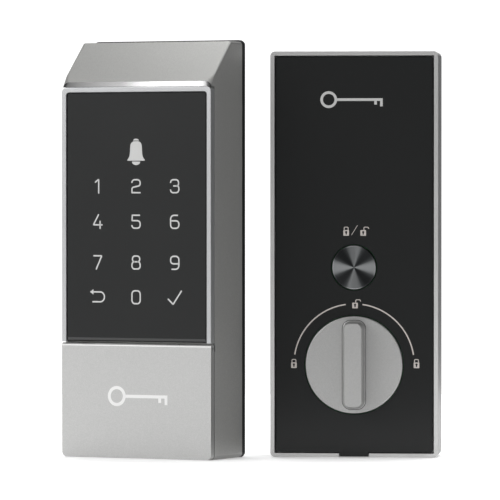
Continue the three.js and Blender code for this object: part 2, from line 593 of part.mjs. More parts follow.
// Removable front cover, with the finger tab in the rim's notch and six snap legs.
function frontCover() {
  const half = housingInner - COVER_GAP;
  const foot = RIM + COVER_GAP;
  const top = IN_HEIGHT - RIM - COVER_GAP;
  const tabHalf = NOTCH_WIDTH / 2 - COVER_GAP;
  const panel = slab(centred(2 * half, foot, top, 1), coverFront, coverBack);
  const tab = box(-tabHalf, tabHalf, coverFront, coverBack, COVER_GAP, foot + 1);
  const tabReturn = box(-tabHalf, tabHalf, coverFront, insideFront + NOTCH_DEPTH - COVER_GAP,
    COVER_GAP, RIM);
  const legs = BOTH_SIDES.flatMap(([, side]) => CLIP.heights.map((z) => {
    const outer = side * (half - SEAT_GAP);
    const inner = side * (half - SEAT_GAP - CLIP.thickness);
    return box(Math.min(inner, outer), Math.max(inner, outer), coverBack - 0.5,
      coverBack + CLIP.length, z - CLIP.width / 2, z + CLIP.width / 2);
  }));
  const dialHole = rod(DIAL_RADIUS + DIAL_HOLE_GAP, coverFront - 1, coverBack + 1, 0, SPINDLE_HEIGHT, 64);
  const buttonHole = rod(BUTTON_RADIUS + BUTTON_HOLE_GAP, coverFront - 1, coverBack + 1, 0,
    BUTTON_HEIGHT, 48);
  return cut(join(panel, tab, tabReturn, ...legs), dialHole, buttonHole);
}
piece(insideUnit, 'front_cover', frontCover(), MATERIALS.blackPanel);

// Gear centres, worked out from the tooth counts.
const spindle = new THREE.Vector2(0, SPINDLE_HEIGHT);
const centreDistance = (a, b) => (GEAR_MODULE * (a + b)) / 2;
const stepFrom = (start, angle, distance) =>
  new THREE.Vector2(start.x + distance * Math.cos(angle), start.y + distance * Math.sin(angle));
const idlerDistance = centreDistance(OUTPUT_TEETH, IDLER_PINION_TEETH);
const idler = stepFrom(spindle, IDLER_DIRECTION, idlerDistance);
const motor = stepFrom(idler, MOTOR_DIRECTION, centreDistance(IDLER_TEETH, MOTOR_TEETH));

const tipRadius = (teeth) => GEAR_MODULE * (teeth / 2 + ADDENDUM);
const hubTailRadius = idlerDistance - tipRadius(IDLER_TEETH) - HUB_GEAR_GAP;

const gearPlateBack = GEAR_PLATE.front + GEAR_PLATE.thickness;
const pillarHalf = HALF_WIDTH - GEAR_PLATE.margin - 3;
const pillarPlaces = [[-pillarHalf, GEAR_PLATE.foot + 4], [pillarHalf, GEAR_PLATE.foot + 4],
  [-pillarHalf, GEAR_PLATE.top - 4], [pillarHalf + 1, GEAR_PLATE.top - 3]];
const boardHalf = HALF_WIDTH - CONTROL_BOARD.margin;
const standoffPlaces = BOTH_SIDES.flatMap(([, side]) =>
  [CONTROL_BOARD.foot + 3, CONTROL_BOARD.top - 3].map((z) => [side * (boardHalf - 1.5), z]));

// Battery bay.
const bayHalf = ((BATTERY.count - 1) * BATTERY_PITCH) / 2 + BATTERY.radius + 0.4;
const bayLength = BATTERY.length + BATTERY_SPRING.length + 2 * CONTACT.thickness + 1.4;
const bayTop = BATTERY_BAY_FOOT + bayLength;
const batteryAxisY = floorFront - 0.3 - BATTERY.radius;

function chassis() {
  const half = housingInner - FIT_GAP;
  const foot = RIM + FIT_GAP;
  const top = IN_HEIGHT - RIM - FIT_GAP;
  const floor = slab(centred(2 * half, foot, top, 1), floorFront, FLOOR_BACK);
  const wall = cut(
    slab(centred(2 * half, foot, top, 1), CHASSIS_WALL_FRONT, floorFront + 0.5),
    box(-half + CHASSIS_WALL, half - CHASSIS_WALL, CHASSIS_WALL_FRONT - 1, floorFront + 1,
      foot + CHASSIS_WALL, top - CHASSIS_WALL),
  );
  const bay = cut(
    box(-bayHalf - BAY_WALL, bayHalf + BAY_WALL, batteryAxisY - 4, floorFront + 0.5,
      BATTERY_BAY_FOOT - BAY_WALL, bayTop + BAY_WALL),
    box(-bayHalf, bayHalf, batteryAxisY - 10, floorFront + 1, BATTERY_BAY_FOOT, bayTop),
  );
  const standoffs = standoffPlaces.map(([x, z]) =>
    rod(2.2, CONTROL_BOARD.back + SEAT_GAP, floorFront + 0.5, x, z, 16));
  const pillars = pillarPlaces.map(([x, z]) =>
    rod(PILLAR_RADIUS, gearPlateBack + SEAT_GAP, floorFront + 0.5, x, z, 16));
  const bushHole = rod(hubTailRadius + RUN_GAP + BUSH_WALL + SEAT_GAP, floorFront - 1, 0, 0,
    SPINDLE_HEIGHT, 32);
  const boltHoles = BOTH_SIDES.map(([, side]) =>
    rod(BOLT.headRadius + 0.6, floorFront - 1, 0, side * postOffset, SPINDLE_HEIGHT, 24));
  const pinHole = rod(IDLER_PIN_RADIUS + 0.1, floorFront - 1, 0, idler.x, idler.y, 16);
  const bossRooms = housingScrewPlaces.map(([x, z]) =>
    rod(HOUSING_SCREW.boss + 0.3, -30, housingBossBack + SEAT_GAP, x, z, 24));
  const screwHoles = housingScrewPlaces.map(([x, z]) =>
    rod(HOUSING_SCREW.shank + 0.3, floorFront - 1, 0, x, z, 12));
  const cableHole = box(-25, -11, floorFront - 1, 0, 86, 96);
  return cut(join(floor, cut(join(wall, bay), ...bossRooms), ...standoffs, ...pillars), bushHole,
    pinHole, cableHole, ...boltHoles, ...screwHoles);
}
piece(insideUnit, 'chassis', chassis(), MATERIALS.blackPlastic);

// Batteries stand side by side and point up and down in turn.
const springCoil = (() => {
  const { length, baseRadius, tipRadius, wire, turns } = BATTERY_SPRING;
  const rise = length - 2 * wire;
  const stepsPerTurn = 8;
  const count = turns * stepsPerTurn;
  const points = [];
  for (let i = 0; i <= count; i += 1) {
    const share = i / count;
    const angle = share * turns * 2 * Math.PI;
    const radius = THREE.MathUtils.lerp(baseRadius, tipRadius, share);
    points.push(new THREE.Vector3(radius * Math.cos(angle), radius * Math.sin(angle), wire + share * rise));
  }
  const section = new THREE.Shape();
  section.absarc(0, 0, wire, 0, 2 * Math.PI, false);
  const settings = { steps: count, extrudePath: new THREE.CatmullRomCurve3(points), curveSegments: 3 };
  return solid(new THREE.ExtrudeGeometry(section, settings));
})();

const batteryCell = (() => {
  const { radius, length, nubRadius, nubLength } = BATTERY;
  const profile = [[0, 0], [radius - 0.6, 0], [radius, 0.6], [radius, length - nubLength - 0.6],
    [radius - 0.6, length - nubLength], [nubRadius, length - nubLength], [nubRadius, length], [0, length]];
  const geometry = new THREE.LatheGeometry(profile.map(([r, y]) => new THREE.Vector2(r, y)), 28);
  geometry.rotateX(Math.PI / 2);
  return solid(geometry);
})();

const contactPlate = box(-CONTACT.width / 2, CONTACT.width / 2, -CONTACT.height / 2,
  CONTACT.height / 2, 0, CONTACT.thickness);

for (let i = 0; i < BATTERY.count; i += 1) {
  const x = (i - (BATTERY.count - 1) / 2) * BATTERY_PITCH;
  const pointsUp = i % 2 === 0;
  const place = (body, height) => {
    const reach = bayLength - height;
    const turned = pointsUp ? body : body.rotate([180, 0, 0]);
    return turned.translate([0, batteryAxisY, pointsUp ? BATTERY_BAY_FOOT + height : BATTERY_BAY_FOOT + reach]);
  };
  const springFoot = 0.2;
  const cellFoot = springFoot + BATTERY_SPRING.length + 0.2;
  const contactFoot = cellFoot + BATTERY.length + 0.2;
  piece(insideUnit, `battery_spring_${i + 1}`, place(springCoil, springFoot), MATERIALS.steel, x);
  piece(insideUnit, `battery_${i + 1}`, place(batteryCell, cellFoot), MATERIALS.battery, x);
  piece(insideUnit, `battery_contact_${i + 1}`, place(contactPlate, contactFoot), MATERIALS.steel, x);
}

// Gear train: motor pinion, idler with two sets of teeth, output gear on the hub.
const rearBushBody = ring(hubTailRadius + RUN_GAP + BUSH_WALL, hubTailRadius + RUN_GAP,
  floorFront - 0.5, FLOOR_BACK + 0.2, 0, 0, 40);
piece(insideUnit, 'rear_bush', rearBushBody, MATERIALS.brass, spindle.x, spindle.y);

const frontBushBody = ring(HUB.radius + RUN_GAP + BUSH_WALL, HUB.radius + RUN_GAP,
  GEAR_PLATE.front - 0.3, gearPlateBack + 0.3, 0, 0, 40);
piece(insideUnit, 'front_bush', frontBushBody, MATERIALS.brass, spindle.x, spindle.y);

const dialFront = coverFront - DIAL_PROUD;
const dialBack = dialFront + DIAL_THICKNESS;
const [outputFront, outputBack] = OUTPUT_GEAR_LAYER;
const [idlerFront, idlerBack] = IDLER_GEAR_LAYER;
const hubBack = FLOOR_BACK + 0.4;
const hubBody = cut(
  join(
    rod(HUB.radius, dialBack + SEAT_GAP, outputBack, 0, 0, 40),
    rod(HUB.collarRadius, outputFront - SEAT_GAP - HUB.collar, outputFront - SEAT_GAP, 0, 0, 40),
    rod(hubTailRadius, dialBack + SEAT_GAP, hubBack, 0, 0, 40),
  ),
  box(-TAILPIECE.thickness / 2 - HUB.slotGap, TAILPIECE.thickness / 2 + HUB.slotGap, outputFront,
    hubBack + 1, -TAILPIECE.width / 2 - HUB.slotGap, TAILPIECE.width / 2 + HUB.slotGap),
  rod(1.3, dialBack, dialBack + 7, 0, 0, 12),
);
piece(insideUnit, 'spindle_hub', hubBody, MATERIALS.steel, spindle.x, spindle.y);

const outputGearBody = cut(
  gearBlank(OUTPUT_TEETH, IDLER_DIRECTION, outputFront, outputBack),
  rod(HUB.radius + SEAT_GAP, outputFront - 1, outputBack + 1, 0, 0, 40),
  ...[0, 1, 2, 3, 4, 5].map((k) => rod(2, outputFront - 1, outputBack + 1,
    10.6 * Math.cos((k * Math.PI) / 3), 10.6 * Math.sin((k * Math.PI) / 3), 16)),
);
piece(insideUnit, 'output_gear', outputGearBody, MATERIALS.gearPlastic, spindle.x, spindle.y);

const facingGap = (direction, teeth) => direction + Math.PI + Math.PI / teeth;
const idlerBody = cut(
  join(
    gearBlank(IDLER_TEETH, MOTOR_DIRECTION, idlerFront, idlerBack),
    gearBlank(IDLER_PINION_TEETH, facingGap(IDLER_DIRECTION, IDLER_PINION_TEETH),
      outputFront - 0.3, idlerFront + 0.5),
  ),
  rod(IDLER_PIN_RADIUS + RUN_GAP, outputFront - 1, idlerBack + 1, 0, 0, 20),
);
piece(insideUnit, 'idler_gear', idlerBody, MATERIALS.gearPlastic, idler.x, idler.y);

const idlerPinBody = rod(IDLER_PIN_RADIUS, GEAR_PLATE.front, FLOOR_BACK, 0, 0, 20);
piece(insideUnit, 'idler_pin', idlerPinBody, MATERIALS.steel, idler.x, idler.y);

const motorBack = idlerFront - 1.2;
const motorPinionBody = join(
  gearBlank(MOTOR_TEETH, facingGap(MOTOR_DIRECTION, MOTOR_TEETH), idlerFront - 0.2, idlerBack + 0.2),
  rod(MOTOR.shaftRadius, motorBack + SEAT_GAP, idlerBack + 0.7, 0, 0, 16),
);
piece(insideUnit, 'motor_pinion', motorPinionBody, MATERIALS.brass, motor.x, motor.y);

const motorBody = cut(
  join(
    rod(MOTOR.radius, MOTOR.front + 0.8, motorBack, 0, 0, 32),
    rod(2.4, MOTOR.front, motorBack, 0, 0, 20),
  ),
  ...BOTH_SIDES.map(([, side]) => box(Math.min(side * 6.2, side * 9), Math.max(side * 6.2, side * 9),
    MOTOR.front, MOTOR.front + 6, -10, 10)),
);
piece(insideUnit, 'gear_motor', motorBody, MATERIALS.steel, motor.x, motor.y);

function gearPlate() {
  const half = HALF_WIDTH - GEAR_PLATE.margin;
  const plate = slab(centred(2 * half, GEAR_PLATE.foot, GEAR_PLATE.top, 3), GEAR_PLATE.front, gearPlateBack);
  return cut(plate,
    rod(HUB.radius + RUN_GAP + BUSH_WALL + SEAT_GAP, -30, 0, spindle.x, spindle.y, 32),
    rod(IDLER_PIN_RADIUS + 0.1, -30, 0, idler.x, idler.y, 16),
    rod(MOTOR.radius + 0.2, -30, 0, motor.x, motor.y, 32));
}
piece(insideUnit, 'gear_plate', gearPlate(), MATERIALS.steel);

// Control board in front of the gears, with the button's switch and the cable socket.
const controlBoardFront = CONTROL_BOARD.back - BOARD_THICKNESS;
const guideLegs = BOTH_SIDES.map(([, side]) => side * 6.2);
const controlBoardBody = cut(
  box(-boardHalf, boardHalf, controlBoardFront, CONTROL_BOARD.back, CONTROL_BOARD.foot, CONTROL_BOARD.top),
  rod(HUB.radius + 1.6, -30, 0, spindle.x, spindle.y, 32),
  ...guideLegs.map((x) => rod(1.3, -30, 0, x, BUTTON_HEIGHT, 12)),
);
piece(insideUnit, 'control_board', controlBoardBody, MATERIALS.board);

const boardSocketBody = cut(
  box(-SOCKET.width / 2, SOCKET.width / 2, CONTROL_BOARD.back + SEAT_GAP,
    CONTROL_BOARD.back + SEAT_GAP + SOCKET.depth, -SOCKET.height / 2, SOCKET.height / 2),
  box(-SOCKET.width / 2 + 1, SOCKET.width / 2 - 1, CONTROL_BOARD.back + 1.5,
    CONTROL_BOARD.back + SOCKET.depth + 1, -SOCKET.height / 2 + 1, SOCKET.height / 2 - 1),
);
piece(insideUnit, 'board_socket', boardSocketBody, MATERIALS.whitePlastic, -18, 91);

const switchFront = controlBoardFront - SWITCH.thickness;
const switchBody = box(-SWITCH.side / 2, SWITCH.side / 2, switchFront, controlBoardFront - SEAT_GAP,
  -SWITCH.side / 2, SWITCH.side / 2);
piece(insideUnit, 'tact_switch', switchBody, MATERIALS.steel, 0, BUTTON_HEIGHT);

// Push button: a spun metal face on a plastic carrier with two guide legs.
const buttonFront = coverFront - BUTTON_PROUD;
const faceBack = buttonFront + BUTTON_FACE_THICKNESS;
piece(insideUnit, 'button_face', rod(BUTTON_RADIUS, buttonFront, faceBack, 0, 0, 48),
  MATERIALS.spunAluminium, 0, BUTTON_HEIGHT);

const carrierBack = switchFront - BUTTON_TRAVEL - 0.15;
const carrierBody = join(
  rod(BUTTON_RADIUS, faceBack + SEAT_GAP, carrierBack, 0, 0, 40),
  ...guideLegs.map((x) => rod(1, faceBack + SEAT_GAP, CONTROL_BOARD.back + 1, x, 0, 12)),
);
piece(insideUnit, 'button_carrier', carrierBody, MATERIALS.blackPlastic, 0, BUTTON_HEIGHT);

// Thumb turn: a flat dial with a tapered grip bar across it.
function thumbTurn() {
  const dial = rod(DIAL_RADIUS, dialFront, dialBack, 0, 0, 64);
  const outline = centred(GRIP.width - 2 * GRIP.taper, -GRIP.length / 2 + GRIP.taper,
    GRIP.length / 2 - GRIP.taper, GRIP.cornerRadius - GRIP.taper);
  const settings = {
    depth: 0.01, bevelEnabled: true, bevelThickness: GRIP.height, bevelSize: GRIP.taper,
    bevelSegments: 1, curveSegments: 5,
  };
  const geometry = new THREE.ExtrudeGeometry(outline, settings);
  geometry.rotateX(Math.PI / 2);
  geometry.translate(0, dialFront, 0);
  const bar = solid(geometry).intersect(box(-50, 50, dialFront - 50, dialFront + 1, -50, 50));
  return join(dial, bar);
}
piece(insideUnit, 'thumb_turn', thumbTurn(), MATERIALS.silverPaint, spindle.x, spindle.y);

// Steel plate that is bolted to the door first; the unit hangs on it.
function mountingPlate() {
  const { thickness, margin } = MOUNTING_PLATE;
  const plate = slab(centred(UNIT_WIDTH - 2 * margin, margin, IN_HEIGHT - margin, 4), -thickness, 0);
  return cut(plate,
    rod(hubTailRadius + 4, -5, 5, spindle.x, spindle.y, 32),
    box(-25, -11, -5, 5, 86, 96),
    ...BOTH_SIDES.map(([, side]) => rod(BOLT.radius + 0.4, -5, 5, side * postOffset, SPINDLE_HEIGHT, 20)),
    ...housingScrewPlaces.map(([x, z]) => rod(HOUSING_SCREW.head + 0.5, -5, 5, x, z, 20)));
}
piece(insideUnit, 'mounting_plate', mountingPlate(), MATERIALS.steel);

for (const [name, side] of BOTH_SIDES) {
  const headBack = -MOUNTING_PLATE.thickness - SEAT_GAP;
  const body = cut(
    join(
      rod(BOLT.headRadius, headBack - BOLT.headThickness, headBack, 0, 0, 24),
      rod(BOLT.radius, headBack - BOLT.headThickness + 0.5, BOLT.reach, 0, 0, 20),
    ),
    box(-0.5, 0.5, headBack - BOLT.headThickness - 1, headBack - BOLT.headThickness + 1, -2.4, 2.4),
    box(-2.4, 2.4, headBack - BOLT.headThickness - 1, headBack - BOLT.headThickness + 1, -0.5, 0.5),
  );
  piece(insideUnit, `through_bolt_${name}`, body, MATERIALS.steel, side * postOffset, SPINDLE_HEIGHT);
}

housingScrewPlaces.forEach(([x, z], i) => {
  const back = FLOOR_BACK + SEAT_GAP + HOUSING_SCREW.headThickness;
  const body = screw(HOUSING_SCREW.shank, HOUSING_SCREW.head, FLOOR_BACK - HOUSING_SCREW.length, back,
    HOUSING_SCREW.headThickness, 0, 0);
  piece(insideUnit, `housing_screw_${i + 1}`, body, MATERIALS.steel, x, z);
});

// ---------------------------------------------------------------- the set, centred over its base

const frontFaceAt = (x, y, front, turn) =>
  new THREE.Vector3(x + front * Math.sin(turn), y - front * Math.cos(turn), 0);
outsideUnit.rotation.z = OUTSIDE_TURN;
outsideUnit.position.copy(frontFaceAt(outsideCentreX, 0, shellFront, OUTSIDE_TURN));
insideUnit.position.copy(frontFaceAt(insideCentreX, STANDING_STEP, insideFront, 0));

const lockSet = new THREE.Group();
lockSet.add(outsideUnit, insideUnit);
lockSet.updateMatrixWorld(true);
const middle = new THREE.Box3().setFromObject(lockSet, true).getCenter(new THREE.Vector3());
outsideUnit.position.sub(new THREE.Vector3(middle.x, middle.y, 0));
insideUnit.position.sub(new THREE.Vector3(middle.x, middle.y, 0));

export default lockSet;
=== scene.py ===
# %% [markdown]
# # A keypad smart lock
# The set has two units. The outside one has a touch keypad behind black glass and a silver
# cover over the key cylinder. The inside one has a black cover in a silver rim, a lock button
# and a thumb turn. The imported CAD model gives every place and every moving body. This script
# adds the fine shapes, the printed signs and the finishes around it.

# %% Load the frame
import json
import math

import bmesh
import bpy
import numpy as np
from mathutils import Matrix, Vector


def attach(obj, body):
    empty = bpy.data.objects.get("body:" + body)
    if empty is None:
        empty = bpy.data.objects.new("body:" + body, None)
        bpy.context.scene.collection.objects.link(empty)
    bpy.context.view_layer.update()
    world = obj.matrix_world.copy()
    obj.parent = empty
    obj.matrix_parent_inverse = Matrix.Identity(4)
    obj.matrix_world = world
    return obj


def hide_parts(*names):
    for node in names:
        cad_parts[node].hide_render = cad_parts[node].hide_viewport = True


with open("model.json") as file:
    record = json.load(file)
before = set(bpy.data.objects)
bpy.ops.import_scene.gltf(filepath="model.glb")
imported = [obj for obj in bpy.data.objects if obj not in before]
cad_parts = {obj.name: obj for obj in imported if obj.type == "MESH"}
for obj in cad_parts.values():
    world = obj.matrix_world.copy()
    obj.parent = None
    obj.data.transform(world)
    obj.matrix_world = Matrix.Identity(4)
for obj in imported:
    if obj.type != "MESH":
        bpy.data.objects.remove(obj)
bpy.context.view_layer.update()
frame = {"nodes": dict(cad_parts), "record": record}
MM = 0.001

# %% [markdown]
# ## Where each unit is
# The outside unit is turned, so its pieces are easier to draw in its own coordinates: x
# across, y from front to back and z up, with y = 0 on the face that meets the door. The two
# seats that the record names give each unit's origin and the way it faces. Every shape below
# is worked out in millimetres in its unit's coordinates and then carried to the frame.

# %% Unit coordinates
mounts = {m["name"]: m for m in frame["record"]["mounts"]}


def unit_matrix(mount):
    """Columns are the unit's x, y and z axes in the row frame; the origin is under the mount."""
    back = Vector(mounts[mount]["axis"])
    up = Vector((0, 0, 1))
    across = back.cross(up)
    origin = Vector(mounts[mount]["pos_m"])
    origin.z = 0
    turn = Matrix((across, back, up)).transposed().to_4x4()
    return Matrix.Translation(origin) @ turn


OUTSIDE = unit_matrix("outside_back")
INSIDE = unit_matrix("inside_back")


def read(items, field, kind=float, width=1):
    """One field of every vertex, edge, loop or face as an array."""
    values = np.empty(len(items) * width, kind)
    items.foreach_get(field, values)
    return values.reshape(-1, width) if width > 1 else values


def in_unit(points, unit):
    """Frame points in a unit's coordinates, in millimetres."""
    back = np.array(unit.inverted())
    return (points @ back[:3, :3].T + back[:3, 3]) / MM


def measure(node, unit):
    """Lowest and highest corner of a CAD node in a unit's coordinates, in millimetres."""
    local = in_unit(read(frame["nodes"][node].data.vertices, "co", width=3), unit)
    return local.min(0), local.max(0)


glass_low, glass_high = measure("touch_glass", OUTSIDE)
print("glass, mm:", np.round(glass_high - glass_low, 2))

# %% [markdown]
# ## Colours and shader nodes
# Colours are written as sRGB hex, as a painter would pick them, and one function turns them
# to the linear values that shaders work in. Another adds one shader node with its settings
# and its links, so that each material below reads as a short recipe.


# %% Colour and node helpers
def linear(code):
    """sRGB hex to linear: a low value over 12.92, a higher one ((v + 0.055) / 1.055) ** 2.4."""
    srgb = np.array([int(code[i:i + 2], 16) for i in (1, 3, 5)]) / 255
    low, high = srgb / 12.92, ((srgb + 0.055) / 1.055) ** 2.4
    return (*np.where(srgb <= 0.04045, low, high), 1.0)


def add(tree, kind, links=None, **settings):
    """Adds a node. Settings are its properties or, if it has none so named, input values."""
    node = tree.nodes.new("ShaderNode" + kind)
    inputs = {}
    for key, value in settings.items():
        if hasattr(node, key):
            setattr(node, key, value)
        else:
            inputs[key.replace("_", " ")] = value
    for key, value in inputs.items():
        node.inputs[key].default_value = value
    for key, source in (links or {}).items():
        tree.links.new(source, node.inputs[key])
    return node


def material(name, **shader):
    """A material with one Principled shader, its constant sockets set, and object coordinates."""
    made = bpy.data.materials.new(name)
    made.use_nodes = True
    tree = made.node_tree
    bsdf = tree.nodes["Principled BSDF"]
    for key, value in shader.items():
        bsdf.inputs[key.replace("_", " ")].default_value = value
    coordinates = add(tree, "TexCoord").outputs["Object"]
    return made, tree, bsdf, coordinates


def ramp(tree, source, *stops):
    """A colour ramp through (position, hex) stops."""
    node = add(tree, "ValToRGB", {"Fac": source})
    for spare in range(len(stops) - 2):
        node.color_ramp.elements.new((spare + 1) / len(stops))
    for element, (place, value) in zip(node.color_ramp.elements, sorted(stops)):
        element.position = place
        element.color = linear(value)
    return node.outputs["Color"]


def roughen(tree, bsdf, source, low, high):
    """Roughness that follows a 0 to 1 pattern from low to high."""
    node = add(tree, "MapRange", {"Value": source}, To_Min=low, To_Max=high)
    tree.links.new(node.outputs["Result"], bsdf.inputs["Roughness"])


def emboss(tree, bsdf, source, height_mm):
    """Bump whose full step is height_mm of real height."""
    node = add(tree, "Bump", {"Height": source}, Strength=1.0, Distance=height_mm * MM)
    tree.links.new(node.outputs["Normal"], bsdf.inputs["Normal"])


# %% [markdown]
# ## Silver metallic paint
# Both housings are zinc castings sprayed with a silver base coat and a satin clear coat. The
# same paint comes in six tones: the cover and dial, the roof, each housing's side walls, and
# the two rims. Three of them are painted light and shade: the outside shell is painted darker
# for the light its roof catches from above, its side walls lighter and the inside unit's side
# walls darker, for the light between two units that stand close together. Tiny aluminium
# flakes, a few hundredths of a millimetre wide, lie nearly flat and give a fine sparkle and a
# soft metal sheen that is brighter where the surface faces the light. Flakes are drawn 0.25 mm
# wide, larger than life, so that a little of the sparkle shows. The orange-peel of the clear
# coat is a very low bump 1.5 mm wide.


# %% Silver metallic paint
FLAKE, CLOUD, ORANGE_PEEL = 0.25, 18, 1.5  # widths of the three patterns, mm
CLEAR_COAT = {"Coat_Weight": 0.25, "Coat_Roughness": 0.25, "Coat_IOR": 1.5}


def metallic_paint(name, colour, flake_colour, roughness):
    """Paint whose tone goes from colour to flake_colour, flake by flake."""
    made, tree, bsdf, place = material(name, Metallic=0.72, **CLEAR_COAT)
    flakes = add(tree, "TexVoronoi", {"Vector": place}, Scale=1 / (FLAKE * MM), feature="F1")
    cloud = add(tree, "TexNoise", {"Vector": place}, Scale=1 / (CLOUD * MM), Detail=3.0)
    peel = add(tree, "TexNoise", {"Vector": place}, Scale=1 / (ORANGE_PEEL * MM), Detail=2.0)
    tone = add(tree, "Mix", {"Factor": flakes.outputs["Color"]}, data_type="RGBA")
    tone.inputs[6].default_value = linear(colour)
    tone.inputs[7].default_value = linear(flake_colour)
    tree.links.new(tone.outputs[2], bsdf.inputs["Base Color"])
    roughen(tree, bsdf, cloud.outputs["Fac"], roughness - 0.04, roughness + 0.04)
    emboss(tree, bsdf, peel.outputs["Fac"], 0.004)
    return made


silver_paint = metallic_paint("silver_metallic_paint_on_zinc", "#a7a7a6", "#b6b6b5", 0.42)
# Painted shade: the outside shell's tone is darker than the cover's for the light its roof catches
# from above.
shell_paint_painted_shade = metallic_paint("silver_metallic_paint_on_zinc_painted_shade", "#8f8f8d", "#9c9c9a", 0.42)
# Painted light: the outside unit's side walls are a lighter copy of the same paint.
outside_walls_paint_painted_light = metallic_paint("silver_metallic_paint_on_flanks_painted_light", "#a9a9a7", "#b6b6b4", 0.5)
# Painted shade: the inside unit's side walls are a darker copy of the same paint.
inside_walls_paint_painted_shade = metallic_paint("silver_metallic_paint_on_inside_flanks_painted_shade", "#6f6f6e", "#7a7a79",
                                    0.42)
bezel_paint = metallic_paint("light_silver_paint_on_bezel", "#b0b1b2", "#babbbc", 0.34)
rim_paint = metallic_paint("light_silver_paint_on_inside_rim", "#cccbca", "#d6d6d5", 0.4)

# %% [markdown]
# ## Black glass and black plastic
# The keypad glass is clear on top and printed black behind, so it is a smooth mirror over a
# very dark ground, with faint finger marks in its gloss. The inside cover is ABS moulded in a
# polished tool: black, a little softer in its gloss, with a slow ripple left by the moulding.
# Hidden and rear plastics come from a spark-eroded tool, whose grain is about 0.3 mm.


# %% Black glass and plastics
def moulded(name, colour, roughness, grain_mm, grain_height, ior=1.53, **shader):
    """A smooth or grained moulding, whose gloss changes in patches 25 mm wide."""
    made, tree, bsdf, place = material(name, Base_Color=linear(colour), IOR=ior, **shader)
    grain = add(tree, "TexNoise", {"Vector": place}, Scale=1 / (grain_mm * MM), Detail=4.0)
    patches = add(tree, "TexNoise", {"Vector": place}, Scale=1 / (25 * MM), Detail=3.0)
    roughen(tree, bsdf, patches.outputs["Fac"], roughness * 0.8, roughness * 1.25)
    emboss(tree, bsdf, grain.outputs["Fac"], grain_height)
    return made


black_glass = moulded("black_backed_glass", "#202121", 0.13, 30, 0.01, ior=1.52)
black_cover = moulded("polished_black_abs", "#222323", 0.16, 12, 0.006, Specular_IOR_Level=0.18)
# This black also draws the painted shadow lines round the grip and the inside cover.
black_plastic_and_painted_shadow = moulded("spark_grained_black_abs_and_painted_shadow", "#090a0a", 0.5, 0.3, 0.015,
                        Specular_IOR_Level=0.25)
black_rubber = moulded("moulded_black_rubber", "#0b0b0c", 0.8, 0.5, 0.02, ior=1.5,
                       Specular_IOR_Level=0.3)
white_plastic = moulded("white_nylon", "#e4e3dc", 0.45, 0.4, 0.01)
gear_plastic = moulded("natural_acetal", "#d8d2c0", 0.4, 0.6, 0.01, Subsurface_Weight=0.1)
white_print = moulded("white_pad_print", "#dededd", 0.45, 0.3, 0.002)
grey_print = moulded("backlit_white_key_print", "#c1c1c0", 0.4, 0.3, 0.002)
warm_print = moulded("warm_grey_pad_print", "#bdb6b1", 0.45, 0.3, 0.002)

# %% [markdown]
# ## Bare and plated metals
# Steel sheet and screws are zinc plated: grey, with a faint spangle a few millimetres wide.
# Contacts and the cylinder are satin nickel. The plug, pinion and bushes are turned brass.
# All are metals, so their colour is in the reflection and their default IOR is kept.


# %% Metals
def plated(name, colour, shade, roughness, grain_mm, grain_height=0.003):
    """A metal whose tone goes from colour to shade within each 3 mm spangle."""
    made, tree, bsdf, place = material(name, Metallic=1.0)
    spangle = add(tree, "TexVoronoi", {"Vector": place}, Scale=1 / (3 * MM), feature="F1")
    grain = add(tree, "TexNoise", {"Vector": place}, Scale=1 / (grain_mm * MM), Detail=4.0)
    tree.links.new(ramp(tree, spangle.outputs["Distance"], (0.2, colour), (0.9, shade)),
                   bsdf.inputs["Base Color"])
    roughen(tree, bsdf, grain.outputs["Fac"], roughness - 0.06, roughness + 0.08)
    emboss(tree, bsdf, grain.outputs["Fac"], grain_height)
    return made


zinc_steel = plated("zinc_plated_steel", "#b4b8bb", "#a1a6aa", 0.36, 1.2)
satin_nickel = plated("satin_nickel_plate", "#bdb8ae", "#aca79d", 0.3, 0.6)
turned_brass = plated("turned_brass", "#d2b16c", "#c09b52", 0.28, 0.5)


def lip_finish_painted_reflection():
    """A facet cut bright under clear lacquer, with a painted reflection along its length."""
    made, tree, bsdf, place = material("bright_cut_zinc_painted_reflection", Metallic=1.0)
    along = add(tree, "SeparateXYZ", {"Vector": place}).outputs["X"]
    ends = [(OUTSIDE @ Vector((side * 0.034, -0.031, 0.155))).x for side in (-1, 1)]
    share = add(tree, "MapRange", {"Value": along}, From_Min=ends[0], From_Max=ends[1])
    haze = add(tree, "TexNoise", {"Vector": place}, Scale=1 / (9 * MM), Detail=2.0)
    # Painted reflection: the tone runs dark, light and dark again along the lip, as a softbox's
    # reflection would.
    tree.links.new(ramp(tree, share.outputs["Result"], (0.0, "#3c3c3c"), (0.1, "#5a5a5a"),
                        (0.4, "#7c7c7c"), (0.6, "#b8b8b8"), (0.93, "#c2c2c2"), (1.0, "#5e5e5e")),
                   bsdf.inputs["Base Color"])
    roughen(tree, bsdf, haze.outputs["Fac"], 0.2, 0.27)
    return made


lip_painted_reflection = lip_finish_painted_reflection()

# %% [markdown]
# ## Circuit board and cell sleeve
# A board is glass-fibre laminate under green solder mask; copper tracks lie under the mask and
# show as paler lines on a 1.27 mm grid. A cell's shrink sleeve is glossy and printed in two
# bands, dark over most of its length.


# %% Circuit board and battery sleeve
def solder_mask():
    made, tree, bsdf, place = material("green_solder_mask", Roughness=0.35, Coat_Weight=0.3)
    tracks = add(tree, "TexBrick", {"Vector": place}, Scale=1.0, Mortar_Size=0.12 * MM,
                 Brick_Width=5.08 * MM, Row_Height=1.27 * MM)
    tree.links.new(ramp(tree, tracks.outputs["Fac"], (0.0, "#1d5a33"), (1.0, "#3d8450")),
                   bsdf.inputs["Base Color"])
    emboss(tree, bsdf, tracks.outputs["Fac"], 0.03)
    return made


